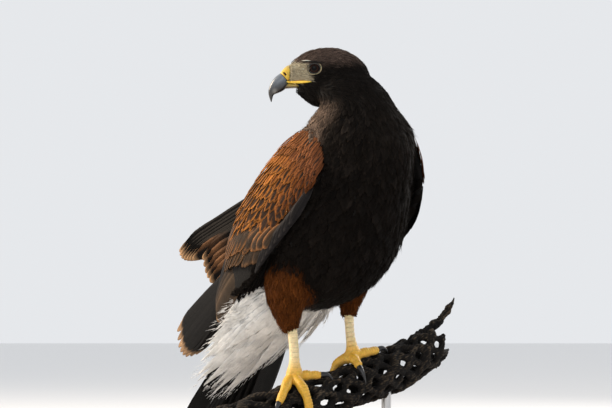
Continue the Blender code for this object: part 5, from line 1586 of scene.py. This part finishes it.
def perch_shares(points):
    """Shares of the perch's length nearest to places."""
    shares = np.linspace(0.0, 1.0, 400)
    return shares[nearest_of(perch_at(shares)[0], points)]


def knots(places, size, seed):
    """Uneven heights of about zero in space, with bumps of a size in millimetres."""
    draw = np.random.default_rng(seed)
    height = np.zeros(len(places))
    for octave in range(3):
        for _ in range(7):
            way = unit(draw.standard_normal(3)) * (2 * math.pi * 2 ** octave / size)
            height += np.sin(places @ way + draw.uniform(0, 2 * math.pi)) / 2 ** octave
    return height / 5.0


def strand_of_wood(strand):
    """Knotted, wavy strand that runs along the perch."""
    start, end = 0.004 + 0.014 * RANDOM.random(), RANDOM.uniform(0.945, 0.998)
    share = np.linspace(start, end, 220)
    swing = STRAND_SWING * (1 if strand % 2 else -1)
    swing = swing * np.sin(2 * math.pi * STRAND_WAVES * share + 0.9 * np.sin(9 * share))
    swing = swing * (1.0 + 0.25 * np.sin(17 * share + 2.6 * strand))
    swing = swing + 2.5 * np.sin(29 * share + 1.3 * strand)
    degrees = 360.0 * strand / STRANDS + swing + STRAND_TWIST * share
    depth = STRAND_RADIUS + 0.5 + 1.1 * np.sin(19 * share + 2.1 * strand)
    knotty = 1.0 + 0.18 * np.sin(43 * share + 1.7 * strand) + 0.12 * np.sin(97 * share + strand)
    radius = STRAND_RADIUS * knotty * (1.0 - 0.55 * ramp(end - 0.035, end, share))
    return capped_tube("strand", rings_along(perch_place(share, degrees, -depth), radius, 10))


def splinter_of_wood(turn):
    """Strand of the splinter that stands up from the perch's end."""
    share = np.linspace(0, 1, 40)
    angle = 2 * math.pi * (turn / SPLINTER_STRANDS + 0.9 * share)
    apart = 3.4 * (1 - share) ** 0.6
    away = (FORWARD * np.cos(angle)[:, None] + UP * np.sin(angle)[:, None]) * apart[:, None]
    radius = (0.9 + 2.7 * (1 - share) ** 0.6) * (1 + 0.2 * np.sin(30 * share + 2 * turn))
    return capped_tube("splinter", rings_along(row_at(SPLINTER, share) + away, radius, 10, FORWARD))


def make_perch():
    """Dead cholla: knotted, wavy strands that part and meet round a hollow, leaving oval holes."""
    parts = [strand_of_wood(strand) for strand in range(STRANDS)]
    parts += [splinter_of_wood(turn) for turn in range(SPLINTER_STRANDS)]
    perch = remeshed(join("cholla_wood", parts), 0.95, 2)
    places, normals = vertex_arrays(perch)
    share = perch_shares(places)
    centre, radius, _, upward, front = perch_at(share)
    off = places - centre
    distance = np.linalg.norm(off, axis=1)
    out = distance / radius
    angle = np.arctan2((off * front).sum(1), (off * upward).sum(1))
    fibres = (np.sin(46 * angle + 9 * np.sin(31 * share)) + np.sin(71 * angle - 17 * share + 2.0)
              + 0.6 * np.sin(23 * angle + 160 * share))
    lumps, grit = knots(places, 17.0, 3), knots(places, 5.0, 5)
    lift = (0.16 * fibres + 1.0 * lumps + 0.55 * grit) * ramp(0.45, 0.8, out) - 0.35
    lift = np.where(share < 0.97, np.minimum(lift, radius + BARK_LIMIT - distance), lift)
    set_places(perch, places + normals * lift[:, None])
    # Outer ridges painted pale as painted highlights, hollows painted dark as painted shade
    lit_ridges = ramp(0.86, 1.02, out + 0.05 * grit) * ramp(-0.2, 2.8, fibres + 1.5 * grit + 1.2 * lumps)
    dress(perch, CHOLLA, "perch_wood", "perch", tint=mixed(WOOD_DARK, WOOD_LIT, lit_ridges))


# ---------------------------------------------------------------- legs
TARSI = {
    "right": (((-20, -13, 182), 5.6), ((-17.5, -13.5, 164), 5.1), ((-16, -14.5, 148), 4.9),
              ((-15.5, -15.5, 134), 5.6), ((-15.5, -16, 124), 8.4), ((-15.5, -16, 117.5), 8.6)),
    "left": (((39, 32.5, 192), 5.2), ((39.5, 32, 178), 4.9), ((40.5, 30, 162), 4.7),
             ((42, 28, 151), 5.6), ((43, 27, 144), 7.8), ((43, 27, 138), 8.2)),
}
# Name, then along the perch and degrees round it at the toe's root and tip, and the claw's length
TOES = {
    "right": (("inner", (4, 2), (23, 24), 17), ("middle", (-3, 12), (-6, 104), 15),
              ("outer", (-5, 6), (-33, 62), 13), ("hind", (2, -22), (6, -72), 20)),
    "left": (("inner", (-3, 10), (-6, 44), 22), ("middle", (4, 2), (30, 12), 13),
             ("outer", (4, -12), (24, -44), 13), ("hind", (-4, -22), (-10, -72), 20)),
}
TOE_RADII, TOE_STEPS = (6.2, 4.9, 5.3, 4.2, 4.4, 3.4), 44
TOE_OUT_ROOT, TOE_OUT_TIP = 5.6, 3.9    # how far a toe's middle lies above the bark
FOOT_PAD = ((5.0, 7.0), (1.0, 8.8), (-3.0, 8.4), (-6.0, 5.0))     # heights over the foot, radii
CLAW_RADIUS, CLAW_BEND = 2.7, math.radians(75)
SCUTE, SHANK_SCUTE, SCUTE_RELIEF = 2.7, 4.8, 0.70
SOLE_BROWN, CLAW_BLACK, CLAW_BASE = (0.40, 0.27, 0.10), (0.0060, 0.0060, 0.0080), (0.030, 0.028, 0.030)
PERCH_LENGTH = sum(math.dist(a[0], b[0]) for a, b in zip(PERCH_LINE, PERCH_LINE[1:]))


def toe_path(foot_share, root, tip, count):
    """Places along a toe that lies over the perch, with the outward ways there."""
    share = np.linspace(0.0, 1.0, count)
    along = foot_share + (root[0] + (tip[0] - root[0]) * share) / PERCH_LENGTH
    degrees = root[1] + (tip[1] - root[1]) * share
    places = perch_place(along, degrees, towards(TOE_OUT_ROOT, TOE_OUT_TIP, share ** 0.6))
    return places, unit(places - perch_at(along)[0])


def smooth_path(stations, count):
    """Dense places and radii through stations of centre and radius."""
    values = row_at([(*centre, radius) for centre, radius in stations], np.linspace(0, 1, count))
    return values[:, :3], values[:, 3]


def lengths_along(path):
    """Distance from a path's start to each of its places."""
    return np.concatenate(((0,), np.cumsum(np.linalg.norm(np.diff(path, axis=0), axis=1))))


def leg_bones(side, foot, share):
    """Tubes of the shank, pad and toes, and paths with the scutes' ways and pitch."""
    shank, shank_radii = smooth_path(TARSI[side], 40)
    pad = [foot + np.array((0, 0, height)) for height, _ in FOOT_PAD]
    parts = [capped_tube("shank", rings_along(shank, shank_radii * 0.98, 24, FORWARD)),
             capped_tube("pad", rings_along(pad, [radius for _, radius in FOOT_PAD], 20, FORWARD))]
    bones = [(shank, np.broadcast_to(unit(FORWARD * 0.55 - LEFT * 0.25), shank.shape), SHANK_SCUTE)]
    steps = np.linspace(0, 1, TOE_STEPS)
    radii = row_at([(radius,) for radius in TOE_RADII], steps)[:, 0]
    blend_in = (1 - np.clip(steps * (len(TOE_RADII) - 1), 0, 1))[:, None] * 0.5
    along_perch = perch_at(share)[2]
    for _, root, tip, _ in TOES[side]:
        path, out = toe_path(share, root, tip, TOE_STEPS)
        lead = path * (1 - blend_in) + foot * blend_in
        flat_way = along_perch if abs(unit(path[-1] - path[0]) @ along_perch) < 0.7 else UP
        parts.append(capped_tube("toe", rings_along(lead, radii * 0.97, 20, flat_way)))
        bones.append((lead, out, SCUTE))
    return parts, bones


def make_leg(side):
    """Scaly shank and toes as one skin, with raised scutes in front and on top, and four claws."""
    foot = np.array(TARSI[side][-1][0])
    share = perch_shares(foot[None])[0]
    for name, root, tip, length in TOES[side]:
        make_claw(f"claw_{side}_{name}", share, root, tip, length)
    parts, bones = leg_bones(side, foot, share)
    leg = remeshed(join(f"leg_skin_{side}", parts), 0.62, 5)
    places, normals = vertex_arrays(leg)
    line, fronts = (np.concatenate([bone[part] for bone in bones]) for part in (0, 1))
    pitch = np.concatenate([np.full(len(path), step) for path, _, step in bones])
    runs = np.concatenate([lengths_along(path) for path, _, _ in bones])
    ways = np.concatenate([unit(np.gradient(path, axis=0)) for path, _, _ in bones])
    near = nearest_of(line, places)
    run = runs[near] + ((places - line[near]) * ways[near]).sum(1)
    facing = (normals * fronts[near]).sum(1)
    front = ramp(0.15, 0.6, np.clip(facing, 0, 1))
    beat = (run / pitch[near]) % 1.0
    plate = ramp(0.0, 0.22, beat) * (1 - 0.55 * ramp(0.22, 1.0, beat))
    set_places(leg, places + normals * (SCUTE_RELIEF * (plate - 0.45) * front)[:, None])
    tint = mixed(CREAM_YELLOW, SKIN_YELLOW, ramp(foot[2] + 26, foot[2] + 4, places[:, 2]))
    tint = tint * (1 - 0.28 * ((1 - ramp(0.0, 0.2, beat)) * front))[:, None]
    dress(leg, SCALY, "skin_yellow", f"tarsus_{side}", f"foot_{side}",
          tint=mixed(tint, SOLE_BROWN, 0.5 * ramp(0.0, -0.8, facing)))


def make_claw(claw, share, root, tip, length):
    """Curved, pointed black claw that starts at the toe's end."""
    toe, _ = toe_path(share, root, tip, len(TOE_RADII))
    end, way = toe[-1], unit(toe[-1] - toe[-2])
    inward = perch_at(share)[0] - end
    inward = unit(inward - way * (inward @ way))
    step = np.linspace(0.0, 1.0, 28)[:, None]
    bend = CLAW_BEND * step
    reach, drop = length * np.sin(bend) / CLAW_BEND, length * (1 - np.cos(bend)) / CLAW_BEND
    rise = 1.6 * np.sin(math.pi * step) + 0.2 - drop * 0.75
    path = end + way * (0.3 + reach - 1.2 * (step == 0)) - inward * rise
    radii = CLAW_RADIUS * (1 - step[:, 0]) ** 0.7 + 0.22
    made = capped_tube(f"{claw}_horn", rings_along(path, radii, 20, np.cross(way, inward)))
    base = ramp(4.0, 0.0, np.linalg.norm(vertex_arrays(made)[0] - end, axis=1))
    dress(made, HORN, "horn", claw, tint=mixed(CLAW_BLACK, CLAW_BASE, base))


# ---------------------------------------------------------------- stand
# Profiles are heights and radii
BASE_THICKNESS, SHARP = 14.0, math.radians(32)
ROD_RADIUS, ROD_STATIONS, ROD_SINK = 5.0, (0.335, 0.70), 7.0
COLLAR_PROFILE = (
    (0.3, 9.6), (0.9, 10.4), (2.9, 10.4), (3.7, 9.6), (3.9, 6.4), (6.3, 5.6), (6.7, ROD_RADIUS))
BASE_PROFILE = (
    (0.0, 121.5), (1.0, 122.6), (3.2, 124.6), (5.4, 125.0), (6.6, 124.2), (7.4, 122.6), (8.4, 121.9),
    (10.4, 121.3), (12.2, 119.8), (13.4, 117.4), (14.0, 114.4), (14.0, 60.0), (14.0, 20.0))


def turned(name, centre, profile, sides, material, slot, replaced):
    """Turned body from heights and radii."""
    angle = full_turn(sides)
    rings = [np.stack((centre[0] + radius * np.cos(angle), centre[1] + radius * np.sin(angle),
                       np.full(sides, height)), -1) for height, radius in profile]
    made = capped_tube(name, rings)
    made.data.set_sharp_from_angle(angle=SHARP)
    dress(made, material, slot, replaced)


def make_stand():
    """Turned round board and two steel rods with small collars."""
    turned("stand_board", (0.0, 0.0), BASE_PROFILE, 144, BOARD, "base_wood", "stand_base")
    for index, share in enumerate(ROD_STATIONS, 1):
        centre, radius, _, _, _ = perch_at(share)
        top = centre[2] - radius + ROD_SINK
        profile = [(BASE_THICKNESS + height, wide) for height, wide in COLLAR_PROFILE]
        profile += [(top - 0.6, ROD_RADIUS), (top, ROD_RADIUS - 0.6)]
        turned(f"steel_rod_{index}", centre, profile, 48, STEEL, "rod_metal", f"stand_rod_{index}")


# ---------------------------------------------------------------- studio
CAMERA_PLACE, CAMERA_TILT, LENS, SENSOR = (-0.004, -2.55, 0.196), math.radians(92.156), 150.0, 36.0
LIGHTS_LOOK_AT = Vector((0.0, 0.0, 0.28))
# Name, place and size in metres, power and colour
LIGHTS = (
    ("key", (-1.9, 0.5, 1.30), 0.9, 70.0, (1.0, 0.84, 0.66)),
    ("rim", (1.3, 1.5, 1.1), 0.8, 26.0, (1.0, 0.94, 0.88)),
    ("fill", (-0.9, -2.3, 1.3), 1.2, 12.0, (1.0, 0.98, 0.96)))
FLOOR_HALF, FLOOR_GREY = 9000.0, (0.80, 0.80, 0.80, 1.0)
SKY, SKY_STRENGTH = (0.93, 0.95, 0.98, 1.0), 0.85


def make_camera():
    """Camera a little below the bird's middle, tilted slightly upwards."""
    data = bpy.data.cameras.new("camera")
    data.lens = LENS
    data.sensor_width = SENSOR
    camera = in_scene("camera", data)
    camera.location = CAMERA_PLACE
    camera.rotation_euler = (CAMERA_TILT, 0.0, 0.0)
    bpy.context.scene.camera = camera


def area_light(name, place, size, power, colour):
    """Soft round light that looks at the bird."""
    data = bpy.data.lights.new(name, "AREA")
    data.shape = "DISK"
    data.size, data.energy, data.color = size, power, colour
    made = in_scene(name, data)
    made.location = place
    made.rotation_euler = (LIGHTS_LOOK_AT - Vector(place)).to_track_quat("-Z", "Y").to_euler()


def make_studio():
    """Pale floor, pale surroundings, a warm key from behind the bird's right and a soft fill."""
    corners = np.array(((-1, -1, 0), (1, -1, 0), (1, 1, 0), (-1, 1, 0)))
    floor = mesh_object("studio_floor", corners * FLOOR_HALF, [(0, 1, 2, 3)])
    material, _, shader = new_material("studio_floor", 0.8)
    shader.inputs["Base Color"].default_value = FLOOR_GREY
    floor.data.materials.append(material)
    world = bpy.data.worlds.new("studio")
    world.use_nodes = True
    background = world.node_tree.nodes["Background"]
    background.inputs["Color"].default_value = SKY
    background.inputs["Strength"].default_value = SKY_STRENGTH
    bpy.context.scene.world = world
    bpy.context.scene.view_settings.view_transform = "Standard"
    for light in LIGHTS:
        area_light(*light)


# ---------------------------------------------------------------- assembly
FLESH_PAINTED_SHADE = 0.6                # painted shade: brightness of the skin against the feathers over it


def main():
    """Build the whole scene."""
    make_camera()
    make_studio()
    skin = make_skin()
    surface = make_body_plumage(skin)
    places, _ = vertex_arrays(skin)
    # The skin takes the plumage's colours, darkened as painted shade under the feathers
    dress(skin, SKIN, "feather_dark", *FLESH_NODES, tint=inner_tint(places) * FLESH_PAINTED_SHADE)
    for hand, side in SIDES:
        make_eye(hand, side)
        make_wing(hand, side)
        make_leg(side)
    make_lids(surface)
    make_upper_bill()
    make_cere()
    make_lower_bill()
    make_face(surface)
    make_bristles(surface)
    make_tail()
    make_tail_coverts()
    make_perch()
    make_stand()


main()
